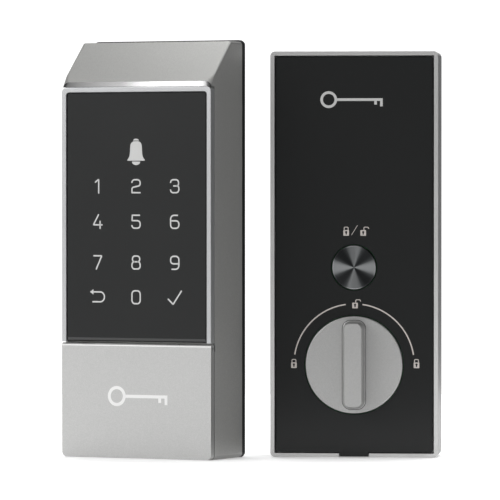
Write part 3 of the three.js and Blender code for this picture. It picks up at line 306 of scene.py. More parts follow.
def cell_sleeve():
    made, tree, bsdf, place = material("printed_shrink_sleeve", Metallic=0.25, Coat_Weight=0.6)
    height = add(tree, "SeparateXYZ", {"Vector": place}).outputs["Z"]
    foil = add(tree, "TexNoise", {"Vector": place}, Scale=1 / (4 * MM), Detail=3.0)
    band = add(tree, "Math", {0: height}, operation="GREATER_THAN")
    band.inputs[1].default_value = 140 * MM
    tree.links.new(ramp(tree, band.outputs[0], (0.0, "#23303a"), (1.0, "#b08437")),
                   bsdf.inputs["Base Color"])
    roughen(tree, bsdf, foil.outputs["Fac"], 0.22, 0.34)
    return made


board_green = solder_mask()
battery_sleeve = cell_sleeve()

# %% [markdown]
# ## Outlines and edges
# Almost every piece here is a flat shape with rounded corners and softened edges. It could be
# a box with a Bevel modifier, but then the corners seen from the front and the edges seen from
# the side get one radius. Here an outline is worked out first, each corner with its own radius,
# and then carried through a list of steps (inset, depth) that draws the edge's section. Close
# to each bend there is one more line of points, which keeps the flat faces shading flat.


# %% Outline helpers
def unit_vectors(v):
    return v / np.linalg.norm(v, axis=-1, keepdims=True)


def rounded(corners, radii, steps=8, margin=0.06):
    """Closed outline of a polygon whose corners are arcs.

    At each corner, a and b point to the two neighbours and half is half the angle between
    them. The arc starts radius / tan(half) along a, its centre lies radius / sin(half) along
    the bisector, and its points turn evenly from one side to the other.
    """
    p = np.asarray(corners, float)
    r = np.maximum(np.broadcast_to(radii, len(p)), 0.02)[:, None]
    a = unit_vectors(np.roll(p, 1, 0) - p)
    b = unit_vectors(np.roll(p, -1, 0) - p)
    half = np.arccos(np.clip((a * b).sum(1, keepdims=True), -1, 1)) / 2
    start, end = p + a * r / np.tan(half), p + b * r / np.tan(half)
    centre = p + unit_vectors(a + b) * r / np.sin(half)
    sweep = np.pi - 2 * half[:, None]
    t = np.linspace(0, 1, steps + 1)[None, :, None]
    u, v = ((start - centre) / r)[:, None], ((end - centre) / r)[:, None]
    between = (np.sin((1 - t) * sweep) * u + np.sin(t * sweep) * v) / np.sin(sweep)
    arc = centre[:, None] + r[:, None] * between
    before, after = (start + a * margin)[:, None], (end + b * margin)[:, None]
    return np.concatenate([before, arc, after], 1).reshape(-1, 2)


def inset(corners, distances):
    """Polygon whose edges each move inwards by their own distance.

    Edge i runs from corner i to corner i + 1, counter-clockwise. Each new corner solves two
    line equations: normal . point = normal . old corner + distance, for the edges that meet.
    """
    p = np.asarray(corners, float)
    d = np.broadcast_to(distances, len(p))
    along = unit_vectors(np.roll(p, -1, 0) - p)
    normal = np.stack([-along[:, 1], along[:, 0]], 1)
    both = np.stack([np.roll(normal, 1, 0), normal], 1)
    reach = (both * p[:, None]).sum(2) + np.stack([np.roll(d, 1), d], 1)
    return np.linalg.solve(both, reach[..., None])[..., 0]


def box_corners(x0, x1, z0, z1):
    return np.array([[x0, z0], [x1, z0], [x1, z1], [x0, z1]], float)


def edge_section(front, back, front_radius, back_radius=0.2, steps=5):
    """(inset, depth) steps over a plate's edge: quarter arc at the front, wall, arc behind.

    Over the front arc at angle t the inset is radius (1 - sin t) and the depth is
    front + radius (1 - cos t), with t from 0 to 90 degrees.
    """
    t = np.linspace(0, np.pi / 2, steps + 1)
    ahead = np.stack([front_radius * (1 - np.sin(t)), front + front_radius * (1 - np.cos(t))], 1)
    behind = np.stack([back_radius * (1 - np.cos(t)), back - back_radius * (1 - np.sin(t))], 1)
    flat = [[front_radius + 0.06, front]]
    wall = [[0, front + front_radius + 0.06], [0, back - back_radius - 0.06]]
    rear = [[back_radius + 0.06, back]]
    return np.concatenate([flat, ahead, wall, behind, rear])


def plate(corners, radii, section, scale=1.0, steps=8):
    """Rings (k, n, 3) of an outline carried through the steps of its edge section."""
    radii = np.broadcast_to(np.asarray(radii, float), len(corners))
    rings = [rounded(inset(corners, amount * np.asarray(scale)), radii - amount, steps)
             for amount, depth in section]
    depth = np.broadcast_to(section[:, 1, None, None], (len(section), len(rings[0]), 1))
    return np.concatenate([np.stack(rings), depth], 2)


# %% [markdown]
# ## From rings to a mesh
# A stack of closed rings becomes faces by joining each ring to the next, and the first and last
# ring are closed by one flat face each. A ring's points are (across, up, depth); a small matrix
# says which of those runs along the unit's x, y and z. The finished mesh has its place in its
# points, sits at the origin and rides on a CAD body.

# %% Mesh helpers
FACING = np.array([[1, 0, 0], [0, 0, 1], [0, 1, 0]])  # outline in x and z, depth along y


def ring_faces(rows, columns, wrap=True, base=0):
    """Quads between neighbouring rows of points; wrap joins the last column to the first."""
    i = np.arange(rows - 1)[:, None] * columns
    j = np.arange(columns if wrap else columns - 1)[None, :]
    k = (j + 1) % columns
    quads = np.stack([i + j, i + k, i + columns + k, i + columns + j], 2)
    return (quads.reshape(-1, 4) + base).tolist()


def closed_solid(rings, base=0):
    """Faces of a stack of rings with a flat face on each end."""
    rows, columns = rings.shape[:2]
    first = list(range(base, base + columns))
    last = list(range(base + (rows - 1) * columns, base + rows * columns))
    return ring_faces(rows, columns, base=base) + [first[::-1], last]


def mesh_piece(name, points, faces, unit, body, finish, stands_for=(), crease=32):
    """Makes one mesh from points (across, up, depth) in unit millimetres."""
    to_frame = np.array(unit)
    in_frame = points @ FACING.T * MM @ to_frame[:3, :3].T + to_frame[:3, 3]
    mesh = bpy.data.meshes.new(name)
    mesh.from_pydata(in_frame.tolist(), [], faces)
    return dress(name, mesh, body, finish, stands_for, crease)


def place(name, solids, unit, body, finish, slot, stands_for=(), crease=32):
    """Makes one mesh from stacks of rings in unit millimetres and hangs it on its body."""
    faces, base = [], 0
    for rings in solids:
        faces += closed_solid(rings, base)
        base += rings.shape[0] * rings.shape[1]
    points = np.concatenate([rings.reshape(-1, 3) for rings in solids])
    return mesh_piece(name, points, faces, unit, body, finish, stands_for, crease)


def link(name, data):
    """A new object in the scene that shows this mesh, light or camera."""
    made = bpy.data.objects.new(name, data)
    bpy.context.scene.collection.objects.link(made)
    return made


def dress(name, mesh, body, finish, stands_for=(), crease=32):
    """Turns faces outwards, smooths all but sharp edges, and gives finish and body."""
    work = bmesh.new()
    work.from_mesh(mesh)
    bmesh.ops.recalc_face_normals(work, faces=work.faces)
    work.to_mesh(mesh)
    work.free()
    mesh.shade_smooth()
    mesh.set_sharp_from_angle(angle=math.radians(crease))
    mesh.materials.append(finish)
    made = link(name, mesh)
    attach(made, body)
    if stands_for:
        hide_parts(*stands_for)
    return made


# %% [markdown]
# ## Softened CAD pieces
# Many pieces already have the right shape in the CAD model, but its edges are knife sharp, and
# real edges catch a line of light. A copy of such a node is merged into clean faces and given a
# Bevel modifier, which rounds every edge sharper than 35 degrees.


# %% Softened copies
def soften(node, finish, width=0.25, segments=2):
    """A merged copy of a CAD node with rounded edges, in the node's place."""
    source = frame["nodes"][node]
    mesh = source.data.copy()
    work = bmesh.new()
    work.from_mesh(mesh)
    bmesh.ops.remove_doubles(work, verts=work.verts, dist=0.02 * MM)
    bmesh.ops.dissolve_limit(work, angle_limit=math.radians(0.5), verts=work.verts,
                             edges=work.edges)
    work.to_mesh(mesh)
    work.free()
    mesh.materials.clear()
    mesh.name = "soft_" + node
    record = frame["record"]
    body = next(b for b, members in record["behaviour"]["bodies"].items() if node in members)
    made = dress(mesh.name, mesh, body, finish, (node,), crease=30)
    bevel = made.modifiers.new("rounded_edges", "BEVEL")
    bevel.width = width * MM
    bevel.segments = segments
    bevel.limit_method = "ANGLE"
    bevel.angle_limit = math.radians(35)
    bevel.harden_normals = True
    return made


# %% Finishes of the CAD nodes that stay
NODES = (
    (black_rubber, "glass_seal back_gasket"),
    (black_plastic_and_painted_shadow, "buzzer back_plate chassis button_carrier"),
    (white_plastic, "light_guide keypad_socket board_socket"),
    (board_green, "keypad_board control_board"),
    (gear_plastic, "output_gear idler_gear"),
    (turned_brass, "key_plug rear_bush front_bush motor_pinion"),
    (satin_nickel, "lock_cylinder plug_retainer gear_motor tact_switch button_face"),
    (zinc_steel, "hinge_pin tailpiece mounting_post_left mounting_post_right spindle_hub idler_pin "
                 "gear_plate mounting_plate through_bolt_left through_bolt_right"),
    (shell_paint_painted_shade, "outside_shell"), (bezel_paint, "front_bezel"),
    (black_glass, "touch_glass"), (black_cover, "front_cover"),
    (silver_paint, "keyway_cover inside_housing thumb_turn"),
)
FOURS = ((zinc_steel, "back_screw"), (zinc_steel, "housing_screw"), (battery_sleeve, "battery"),
         (satin_nickel, "battery_spring"), (satin_nickel, "battery_contact"))
FINISH = {node: finish for finish, nodes in NODES for node in nodes.split()}
FINISH |= {f"{node}_{number}": finish for finish, node in FOURS for number in range(1, 5)}
for node, finish in FINISH.items():
    frame["nodes"][node].data.materials.clear()
    frame["nodes"][node].data.materials.append(finish)
print("nodes with a finish:", len(FINISH), "of", len(frame["nodes"]))

# %% [markdown]
# ## The outside unit's casting
# The shell's silhouette is the CAD model's. Its edges get a 0.45 mm round, which is what
# spraying and polishing leave on a zinc casting. The narrow lip under the roof is cut bright and
# lacquered instead of painted, so its faces take the bright-cut finish, whose tone along the
# lip is a painted reflection. The side walls take a lighter copy of the paint, painted light,
# and the rest of the shell a darker one, painted shade. Faces are told apart by their centres
# and normals in the unit.


# %% Shell with its bright lip
LIP_LOW, LIP_HIGH = (-36, -33, 154.3), (36, -30.6, 156.1)  # box that holds the lip's faces
SIDEWAYS = 0.98  # a side wall's normal points across by at least this much


def face_table(mesh, unit):
    """Centre (unit millimetres) and normal (unit axes) of every face."""
    turn = np.array(unit)[:3, :3]
    return (in_unit(read(mesh.polygons, "center", width=3), unit),
            read(mesh.polygons, "normal", width=3) @ turn)


def sharpen(mesh, chosen):
    """Marks every edge of the chosen faces as sharp."""
    edge_of = read(mesh.loops, "edge_index", np.int32)
    sharp = read(mesh.edges, "use_edge_sharp", bool)
    sharp[edge_of[np.repeat(chosen, read(mesh.polygons, "loop_total", np.int32))]] = True
    mesh.edges.foreach_set("use_edge_sharp", sharp)


shell = soften("outside_shell", shell_paint_painted_shade, width=0.45, segments=3)
shell.data.materials.append(lip_painted_reflection)
shell.data.materials.append(outside_walls_paint_painted_light)
centres, normals = face_table(shell.data, OUTSIDE)
in_lip = ((centres > LIP_LOW) & (centres < LIP_HIGH)).all(1)
# Side walls get slot 2, a lighter copy of the paint: painted light. The lip gets slot 1, with its
# painted reflection.
slots = np.where(np.abs(normals[:, 0]) > SIDEWAYS, 2, 0)
slots[in_lip] = 1
shell.data.polygons.foreach_set("material_index", slots.astype(np.int32))
sharpen(shell.data, in_lip)
print("faces of the bright lip:", in_lip.sum())

# %% Keyway cover and back plate
soften("keyway_cover", silver_paint, width=0.3, segments=3)
soften("back_plate", black_plastic_and_painted_shadow, width=0.3)

# %% [markdown]
# ## The rim round the keypad
# The rim is an extruded strip bent over the top of the keypad. It could be a curve with a bevel
# profile, but its outer and inner bends have different centres, so the strip would thin out.
# Here the outer and the inner outline are each drawn with their own radius, and a rounded
# section is stretched between them at every step.


# %% Keypad rim
def over_the_top(half_width, foot, top, radius, steps=10):
    """Open path up the right side, over the top and down the left side, with arcs of radius."""
    closed = rounded(box_corners(-half_width, half_width, foot, top), radius, steps)
    start = steps + 3
    ends = np.array([[half_width, foot]]), np.array([[-half_width, foot]])
    return np.concatenate([ends[0], closed[2 * start:], ends[1]])


def strip(outer, inner, section):
    """Rings of a section (share from outer to inner, depth) stretched between two paths."""
    share = section[None, :, :1]
    flat = outer[:, None] * (1 - share) + inner[:, None] * share
    depth = np.broadcast_to(section[None, :, 1:], flat.shape[:2] + (1,))
    return np.concatenate([flat, depth], 2)


rim_low, rim_high = measure("front_bezel", OUTSIDE)
RIM_WIDTH = 2.0
RIM_BEND, RIM_INNER_BEND = 2.0, 1.4  # radii of the two upper corners, outside and inside
RIM_EDGES = (0.22, 0.15, 0.15, 0.15)  # edge radii: outer front, then round the section
outer_path = over_the_top(rim_high[0], rim_low[2], rim_high[2], RIM_BEND)
inner_path = over_the_top(rim_high[0] - RIM_WIDTH, rim_low[2], rim_high[2] - RIM_WIDTH,
                          RIM_INNER_BEND)
rim_section = rounded(box_corners(0, RIM_WIDTH, rim_low[1], rim_high[1]), RIM_EDGES, 5)
rim_section[:, 0] /= RIM_WIDTH
bezel = place("keypad_rim", [strip(outer_path, inner_path, rim_section)], OUTSIDE, "lock_body",
              bezel_paint, "polished_bezel", stands_for=["front_bezel"])
print("rim vertices:", len(bezel.data.vertices))

# %% [markdown]
# ## The keypad glass
# Toughened glass has a ground bevel. Here it is 0.3 mm on three sides and 1 mm wide along the
# lower edge, where the finger slides off towards the keyway cover. The glass ends a little
# above that cover, which leaves a dark gap between the two.

# %% Keypad glass
BEVEL_SCALE = (3.2, 1.0, 1.0, 1.0)  # lower, right, upper and left edge
GLASS_LIFT = 0.45  # mm of dark gap under the glass
GLASS_CORNERS = (0.3, 0.3, 1.2, 1.2)  # radii of the lower two and upper two corners
ground = np.array([[0.36, 0], [0.3, 0], [0.0, 0.3], [0, 0.36],  # front bevel
                   [0, 1.62], [0, 1.68], [0.12, 1.8], [0.18, 1.8]])  # wall and rear edge
ground[:, 1] += glass_low[1]
glass_corners = box_corners(glass_low[0], glass_high[0], glass_low[2] + GLASS_LIFT, glass_high[2])
glass = plate(glass_corners, GLASS_CORNERS, ground, BEVEL_SCALE)
place("keypad_glass", [glass], OUTSIDE, "lock_body", black_glass, "touch_glass",
      stands_for=["touch_glass"], crease=20)

# %% [markdown]
# ## Printed signs
# The signs are screen printed: a film of ink 0.03 mm thick. Text objects would bring a
# font with them. Here each sign is a few pen strokes, because real key legends are drawn that
# way: a path of straight lines with rounded corners, and a ribbon of constant width along it.
# A filled shape, such as the bell, is one stroke whose width changes from end to end.


# %% Pen strokes
INK = 0.03


def bent(points, radii, steps=6):
    """Open path of straight lines whose inner corners are arcs."""
    points = np.asarray(points, float)
    radii = np.broadcast_to(radii, len(points))
    if len(points) == 2:
        return points
    whole = rounded(points, radii, steps, margin=0.0).reshape(len(points), steps + 3, 2)[:, 1:-1]
    return np.concatenate([points[:1], whole[1:-1].reshape(-1, 2), points[-1:]])


def stroke(path, width, front, closed=False):
    """Rings (across, up, depth) of a flat ribbon along a path.

    At each point the ribbon's edge lies half the width away along the mitre of the two
    neighbouring segments, divided by the cosine of half the bend so that its width stays.
    """
    path = np.asarray(path, float)
    ahead = unit_vectors(np.roll(path, -1, 0) - path)
    behind = np.roll(ahead, 1, 0)
    if not closed:
        ahead[-1], behind[0] = behind[-1], ahead[0]
    mitre = unit_vectors(ahead + behind)
    side = np.stack([-mitre[:, 1], mitre[:, 0]], 1)
    reach = np.broadcast_to(np.asarray(width, float) / 2, len(path)) / (mitre * ahead).sum(1)
    left, right = path + side * reach[:, None], path - side * reach[:, None]
    corners = np.stack([left, right, right, left], 1)
    depth = np.broadcast_to(np.array([front, front, front + INK, front + INK])[None, :, None],
                            corners.shape[:2] + (1,))
    return np.concatenate([corners, depth], 2)


def ribbons_of(signs, front, width):
    """Draws (path, closed) pairs with one pen: a list of (rings, closed)."""
    return [(stroke(path, width, front, closed), closed) for path, closed in signs]


def oval(x0, x1, y0, y1, radius, steps=8):
    """Closed path of a rectangle with round corners, without its support points."""
    points = rounded(box_corners(x0, x1, y0, y1), radius, steps, margin=0.0)
    return points.reshape(4, steps + 3, 2)[:, 1:-1].reshape(-1, 2)


# %% The ten digits
UP, WIDE = 2.675, 1.93  # half height and half width of a digit, on the pen's centre line
TIP = UP + 0.375  # where an upright stroke's flat end is
SIX = bent([(1.5, UP), (-WIDE, UP), (-WIDE, -UP), (WIDE, -UP), (WIDE, 0.42), (-WIDE + 0.37, 0.42)],
           (0, 1.6, 1.4, 1.4, 1.3, 0))
DIGITS = {
    "0": [(oval(-WIDE, WIDE, -UP, UP, 1.4), True)],
    "1": [(bent([(-1.25, 1.55), (0.5, UP + 0.15), (0.5, -TIP)], (0, 0.12, 0), 3), False)],
    "2": [(bent([(-WIDE, 1.35), (-WIDE, UP), (WIDE, UP), (WIDE, 0.25), (-WIDE, -0.55), (-WIDE, -UP),
                 (WIDE + 0.2, -UP)], (0, 1.2, 1.2, 1.0, 0.9, 0.1, 0)), False)],
    "3": [(bent([(-WIDE, 1.35), (-WIDE, UP), (WIDE - 0.15, UP), (WIDE - 0.15, 0.12), (-0.7, 0.12)],
                (0, 1.2, 1.2, 0.9, 0)), False),
          (bent([(0.75, 0.12), (WIDE, 0.12), (WIDE, -UP), (-WIDE, -UP), (-WIDE, -1.35)],
                (0, 0.95, 1.3, 1.2, 0)), False)],
    "4": [(bent([(0.5, TIP), (-2.0, -1.35), (2.3, -1.35)], (0, 0.12, 0), 3), False),
          (np.array([(1.15, 0.35), (1.15, -TIP)]), False)],
    "5": [(bent([(WIDE - 0.1, UP), (-WIDE + 0.2, UP), (-WIDE + 0.05, 0.45), (WIDE, 0.45),
                 (WIDE, -UP), (-WIDE, -UP), (-WIDE, -1.35)],
                (0, 0.1, 0.12, 1.3, 1.3, 1.2, 0)), False)],
    "6": [(SIX, False)],
    "7": [(bent([(-WIDE - 0.1, UP), (WIDE, UP), (-0.75, -TIP)], (0, 0.12, 0), 3), False)],
    "8": [(oval(-WIDE, WIDE, -UP, 0.3, 1.25), True),
          (bent([(-0.6, 0.3), (-1.7, 0.3), (-1.7, UP), (1.7, UP), (1.7, 0.3), (0.6, 0.3)],
                (0, 0.95, 1.15, 1.15, 0.95, 0)), False)],
    "9": [(-SIX, False)],
}

# %% Arrow, tick and bell
turn = np.linspace(np.pi / 2, -np.pi / 2, 17)
hook = np.stack([1.15 + 2.05 * np.cos(turn), 2.05 * np.sin(turn)], 1)
BACK_ARROW = [(np.concatenate([[(-2.2, 2.05)], hook, [(-2.5, -2.05)]]), False)]
ARROW_HEAD = (np.array([(-3.6, 2.05), (-3.5, 2.05), (-2.1, 2.05), (-2.0, 2.05)]),
              (0.1, 0.25, 2.1, 2.2))  # a short path and the widths that make it a triangle
TICK = [(bent([(-3.2, -0.5), (-0.75, -2.75), (3.2, 2.9)], (0, 0.12, 0), 3), False)]

BELL = np.array([(4.45, 1.7), (4.3, 2.9), (4.0, 3.9), (3.5, 4.8), (2.8, 5.3), (1.8, 5.5),
                 (0.6, 5.6), (-0.6, 5.8), (-1.5, 6.1), (-2.2, 6.6), (-2.8, 7.4), (-3.2, 8.1),
                 (-3.5, 8.3), (-3.65, 7.6)])  # height and width, from the crown to the lip
arc = np.linspace(0, np.pi / 2, 9)


def half_oval(base, height, half_width):
    """Heights and widths of half an ellipse that stands or hangs on a level line."""
    return base + height * np.sin(arc), 2 * half_width * np.maximum(np.cos(arc), 0.08)


bell_cap = half_oval(4.72, 0.75, 1.35)
bell_tongue = half_oval(-3.98, -1.47, 1.95)


def upright(heights):
    """A straight path up the middle through these heights."""
    return np.stack([np.zeros_like(heights), heights], 1)


# %% Put the signs on the glass
PEN = 0.6
COLUMNS = (-18.1, 0.0, 18.1)
ROWS = (112.9, 98.2, 81.3, 66.9)
KEYS = ("123", "456", "789")
film = glass_low[1] - INK


def moved(ribbons, x, z):
    """Ribbons moved across and up; each keeps its depth."""
    return [(rings + np.array([x, z, 0.0]), closed) for rings, closed in ribbons]


def print_signs(name, ribbons, unit, body, finish):
    """One mesh from ribbons [(rings, closed)]: a closed ribbon joins its last ring to its first."""
    points, faces, base = [], [], 0
    for rings, closed in ribbons:
        rows = len(rings)
        if closed:
            round_again = ring_faces(rows + 1, 4)
            faces += (np.array(round_again) % (rows * 4) + base).tolist()
        else:
            faces += closed_solid(rings, base)
        points.append(rings.reshape(-1, 3))
        base += rows * 4
    return mesh_piece(name, np.concatenate(points), faces, unit, body, finish)


keypad_signs = []
for row, height in zip(KEYS, ROWS):
    for digit, x in zip(row, COLUMNS):
        keypad_signs += moved(ribbons_of(DIGITS[digit], film, PEN), x, height)
for sign, x in zip((BACK_ARROW, DIGITS["0"], TICK), COLUMNS):
    keypad_signs += moved(ribbons_of(sign, film, PEN), x, ROWS[3])
keypad_signs += moved([(stroke(*ARROW_HEAD, film), False)], COLUMNS[0], ROWS[3])
print_signs("keypad_signs", keypad_signs, OUTSIDE, "lock_body", grey_print)

BELL_HEIGHT = 127.1
bell_parts = [(stroke(upright(heights), widths, film), False)
              for heights, widths in (BELL.T, bell_cap, bell_tongue)]
print_signs("bell_sign", moved(bell_parts, 0.0, BELL_HEIGHT), OUTSIDE, "lock_body", grey_print)

# %% [markdown]
# ## A plain key mark
# Each unit's front has one printed mark. A simple key stands there: a ring, a shaft and two
# teeth.


# %% Key marks
def key_mark(front, length, height, pen):
    """Ribbons of a key lying on its side: a ring at the left, a shaft and two teeth."""
    ring_radius = (height - pen) / 2
    angle = np.linspace(0, 2 * np.pi, 48, endpoint=False)
    middle = -length / 2 + height / 2
    bow = np.stack([middle + ring_radius * np.cos(angle), ring_radius * np.sin(angle)], 1)
    end = length / 2
    shaft = np.array([(middle + ring_radius + pen * 0.4, 0.0), (end, 0.0)])
    teeth = [np.array([(end - step * pen, -pen * 0.45), (end - step * pen, -ring_radius * reach)])
             for step, reach in ((0.5, 0.95), (2.7, 0.7))]
    return [(stroke(bow, pen, front, True), True), (stroke(shaft, pen, front), False)] + \
        [(stroke(tooth, pen, front), False) for tooth in teeth]


cover_low, cover_high = measure("keyway_cover", OUTSIDE)
print_signs("key_mark_outside", moved(key_mark(cover_low[1] - INK, 28.0, 8.4, 1.35), 0.8, 25.8),
            OUTSIDE, "keyway_cover_body", white_print)
panel_low, panel_high = measure("front_cover", INSIDE)
print_signs("key_mark_inside", moved(key_mark(panel_low[1] - INK, 26.0, 7.0, 1.1), -1.1, 148.9),
            INSIDE, "front_cover_body", grey_print)

# %% [markdown]
# ## Legends round the thumb turn
# An arc runs from the locked sign on each side to the open sign on top, and the same two signs
# stand above the button. A padlock is a square with a keyhole and a thin bow over it.

# %% Padlocks and arcs
SPINDLE = 38.6  # height of the thumb turn's axis
ARC_RADIUS, ARC_RISE, ARC_PEN = 25.05, 0.3, 0.52
PADLOCK_BODY = np.array([(-1.9, 2.0), (-1.75, 2.35), (0.3, 2.35), (0.45, 2.0)])  # height, width
KEYHOLE = np.array([(0.05, 0.3), (-0.1, 0.8), (-0.35, 0.98), (-0.65, 0.8), (-0.75, 0.55),
                    (-1.4, 0.55)])  # height, width: a round hole with a slot
OPEN_BOW = bent([(0.3, 0.5), (0.3, 1.68), (2.25, 1.68), (2.25, 0.95)], (0, 0.4, 0.5, 0))
SHUT_BOW = bent([(-0.82, 0.5), (-0.82, 1.68), (0.82, 1.68), (0.82, 0.5)], (0, 0.4, 0.4, 0))
BOW_PEN = 0.32
SLASH, SLASH_PEN = np.array([(-1.1, 92.6), (1.4, 96.6)]), 0.22
PADLOCKS = [(26.0, 39.2, False), (-25.1, 39.1, False), (0.4, 64.0, True), (-3.3, 94.2, False),
            (3.8, 94.2, True)]  # across, up, open
ink_front = panel_low[1] - INK


def padlock(x, z, opened):
    """Ribbons of one padlock: the body is a stroke as wide as it is high."""
    body = stroke(upright(PADLOCK_BODY[:, 0]), PADLOCK_BODY[:, 1], ink_front)
    bow = stroke(OPEN_BOW if opened else SHUT_BOW, BOW_PEN, ink_front)
    return moved([(body, False), (bow, False)], x, z)


def keyhole(x, z):
    """Ribbon of one keyhole, printed on top of the padlock's body."""
    hole = stroke(upright(KEYHOLE[:, 0]), KEYHOLE[:, 1], ink_front - INK)
    return moved([(hole, False)], x, z)


angles = np.radians(np.linspace(8, 81, 48))
half_arc = np.stack([ARC_RADIUS * np.sin(angles),
                     SPINDLE + ARC_RISE + ARC_RADIUS * np.cos(angles)], 1)
legend = [(stroke(half_arc, ARC_PEN, ink_front), False),
          (stroke(half_arc * (-1, 1), ARC_PEN, ink_front), False),
          (stroke(SLASH, SLASH_PEN, ink_front), False)]
for x, z, opened in PADLOCKS:
    legend += padlock(x, z, opened)
print_signs("inside_legends", legend, INSIDE, "front_cover_body", warm_print)
print_signs("padlock_keyholes", sum((keyhole(x, z) for x, z, opened in PADLOCKS), []), INSIDE,
            "front_cover_body", black_cover)

# %% [markdown]
# ## Shadow line round the black cover
# A real cover stands a little away from its rim, and the shade in the gap reads as a black
# line. It is drawn here as a painted shadow: a black ribbon 0.5 mm wide along the cover's left,
# upper and right edge.

# %% Shadow line
EDGE_FOOT, EDGE_PEN, EDGE_INSET = 6.0, 0.5, 0.26  # the line's lower end, width and place
x0, x1, z1 = panel_low[0] + EDGE_INSET, panel_high[0] - EDGE_INSET, panel_high[2] - EDGE_INSET
edge_line = bent([(x0, EDGE_FOOT), (x0, z1), (x1, z1), (x1, EDGE_FOOT)], (0, 0.5, 0.5, 0))
# Painted shadow: a black ribbon along the cover's left, upper and right edge.
print_signs("cover_painted_shadow_line", [(stroke(edge_line, EDGE_PEN, ink_front), False)], INSIDE,
            "front_cover_body", black_plastic_and_painted_shadow)

# %% [markdown]
# ## Inside castings and mouldings
# The inside housing and its cover are softened copies of the CAD nodes, as the shell is. The
# housing's side walls take a darker copy of the paint: painted shade.

# %% Inside housing, cover and plates
HOUSING_INSIDE = 34  # half the width inside the housing's walls
housing = soften("inside_housing", rim_paint, width=0.35, segments=3)
# The outer side walls take a darker copy of the paint: painted shade.
housing.data.materials.append(inside_walls_paint_painted_shade)
centres, normals = face_table(housing.data, INSIDE)
outer_wall = (np.abs(normals[:, 0]) > SIDEWAYS) & (np.abs(centres[:, 0]) > HOUSING_INSIDE)
housing.data.polygons.foreach_set("material_index", outer_wall.astype(np.int32))
soften("front_cover", black_cover, width=0.25, segments=2)
soften("mounting_plate", zinc_steel, width=0.15)
for node in ("chassis", "gear_plate", "tailpiece", "lock_cylinder", "key_plug", "button_carrier"):
    soften(node, FINISH[node], width=0.18)
for number in range(1, 5):
    soften(f"battery_{number}", battery_sleeve, width=0.5, segments=3)

# %% [markdown]
# ## Thumb turn
# The thumb turn is one zinc casting: a dial with a soft edge, and a grip bar across it. The
# dial is turned, so it is a profile carried round a circle. The grip is an outline that shrinks
# as it rises: its sides lean in by about 1 mm, so that the casting leaves its mould, and its top
# edge is a 0.3 mm chamfer. A dark ribbon round its foot is a painted shadow, for the shade of
# a groove there.


# %% Thumb turn
def turned(section, centre_z, steps=96):
    """Rings of a section (radius, depth) carried round the unit's depth axis at a height."""
    angle = np.linspace(0, 2 * np.pi, steps, endpoint=False)
    circle = np.stack([np.cos(angle), np.sin(angle)], 1)
    flat = section[:, None, :1] * circle[None] + np.array([0.0, centre_z])
    depth = np.broadcast_to(section[:, None, 1:], flat.shape[:2] + (1,))
    return np.concatenate([flat, depth], 2)


def radial(section, radius):
    """Turns an edge section (inset, depth) into (radius, depth)."""
    return np.stack([radius - section[:, 0], section[:, 1]], 1)


turn_back = measure("thumb_turn", INSIDE)[1][1]
DIAL_FRONT, DIAL_BACK, DIAL_RADIUS, DIAL_EDGE, STEM_RADIUS = -26.6, -23.6, 20.25, 0.55, 5.0
GRIP_WIDTH, GRIP_LENGTH, GRIP_FRONT, GRIP_CORNER = 9.6, 36.9, -34.6, 3.4
DRAFT, CHAMFER, FOOT = 1.05, 0.32, 0.3  # insets of the top and the foot, and the chamfer
dial_section = np.concatenate([[[16.0, DIAL_FRONT]],
                               edge_section(DIAL_FRONT, DIAL_BACK, DIAL_EDGE, 0.2)])
dial = turned(radial(dial_section, DIAL_RADIUS), SPINDLE)
grip_section = np.array([
    [DRAFT + CHAMFER + 0.06, GRIP_FRONT], [DRAFT + CHAMFER, GRIP_FRONT],
    [DRAFT, GRIP_FRONT + CHAMFER], [DRAFT - 0.01, GRIP_FRONT + CHAMFER + 0.06],
    [FOOT, DIAL_FRONT - FOOT], [FOOT - 0.01, DIAL_FRONT - FOOT + 0.06],
    [0.0, DIAL_FRONT - 0.06], [0.0, DIAL_FRONT + 0.3]])
half_width, half_length = GRIP_WIDTH / 2, GRIP_LENGTH / 2
grip_corners = box_corners(-half_width, half_width, SPINDLE - half_length, SPINDLE + half_length)
grip = plate(grip_corners, GRIP_CORNER, grip_section)
stem_section = np.array([[0.0, DIAL_BACK - 0.3], [0.0, turn_back]])
stem = turned(radial(stem_section, STEM_RADIUS), SPINDLE, 48)
thumb_turn = place("thumb_turn_casting", [dial, grip, stem], INSIDE, "thumb_turn_body",
                   silver_paint, "silver_paint", stands_for=["thumb_turn"], crease=28)
print("thumb turn vertices:", len(thumb_turn.data.vertices))

# %% Shadow line round the grip
# Painted shadow: a black ribbon on the dial, just outside the grip's foot.
GRIP_SHADOW_PEN, GRIP_SHADOW_OUTSET = 0.26, 0.1  # the ribbon's width, and how far it lies outside the foot
grip_shadow_path = oval(-half_width - GRIP_SHADOW_OUTSET, half_width + GRIP_SHADOW_OUTSET,
                SPINDLE - half_length - GRIP_SHADOW_OUTSET, SPINDLE + half_length + GRIP_SHADOW_OUTSET,
                GRIP_CORNER + GRIP_SHADOW_OUTSET)
print_signs("grip_painted_shadow", [(stroke(grip_shadow_path, GRIP_SHADOW_PEN, DIAL_FRONT - INK, True), True)], INSIDE,
            "thumb_turn_body", black_plastic_and_painted_shadow)

# %% [markdown]
# ## Spun metal button
# The button's face is aluminium, spun against a fine abrasive and then anodised dark. The
# circular scratches are about 0.1 mm apart. They spread a reflection across the grain, so the
# face shows bright wedges that meet in its middle. The shader does this partly with
# anisotropy, whose direction follows the piece's own UV map: u runs round the button and v
# outwards, and partly with painted highlights: the base colour is lighter in four wedges by
# the angle u.


# %% Button finish
SCRATCHES_AROUND, SCRATCHES_PER_MM = 14, 9
HIGHLIGHT_WEDGES = 4


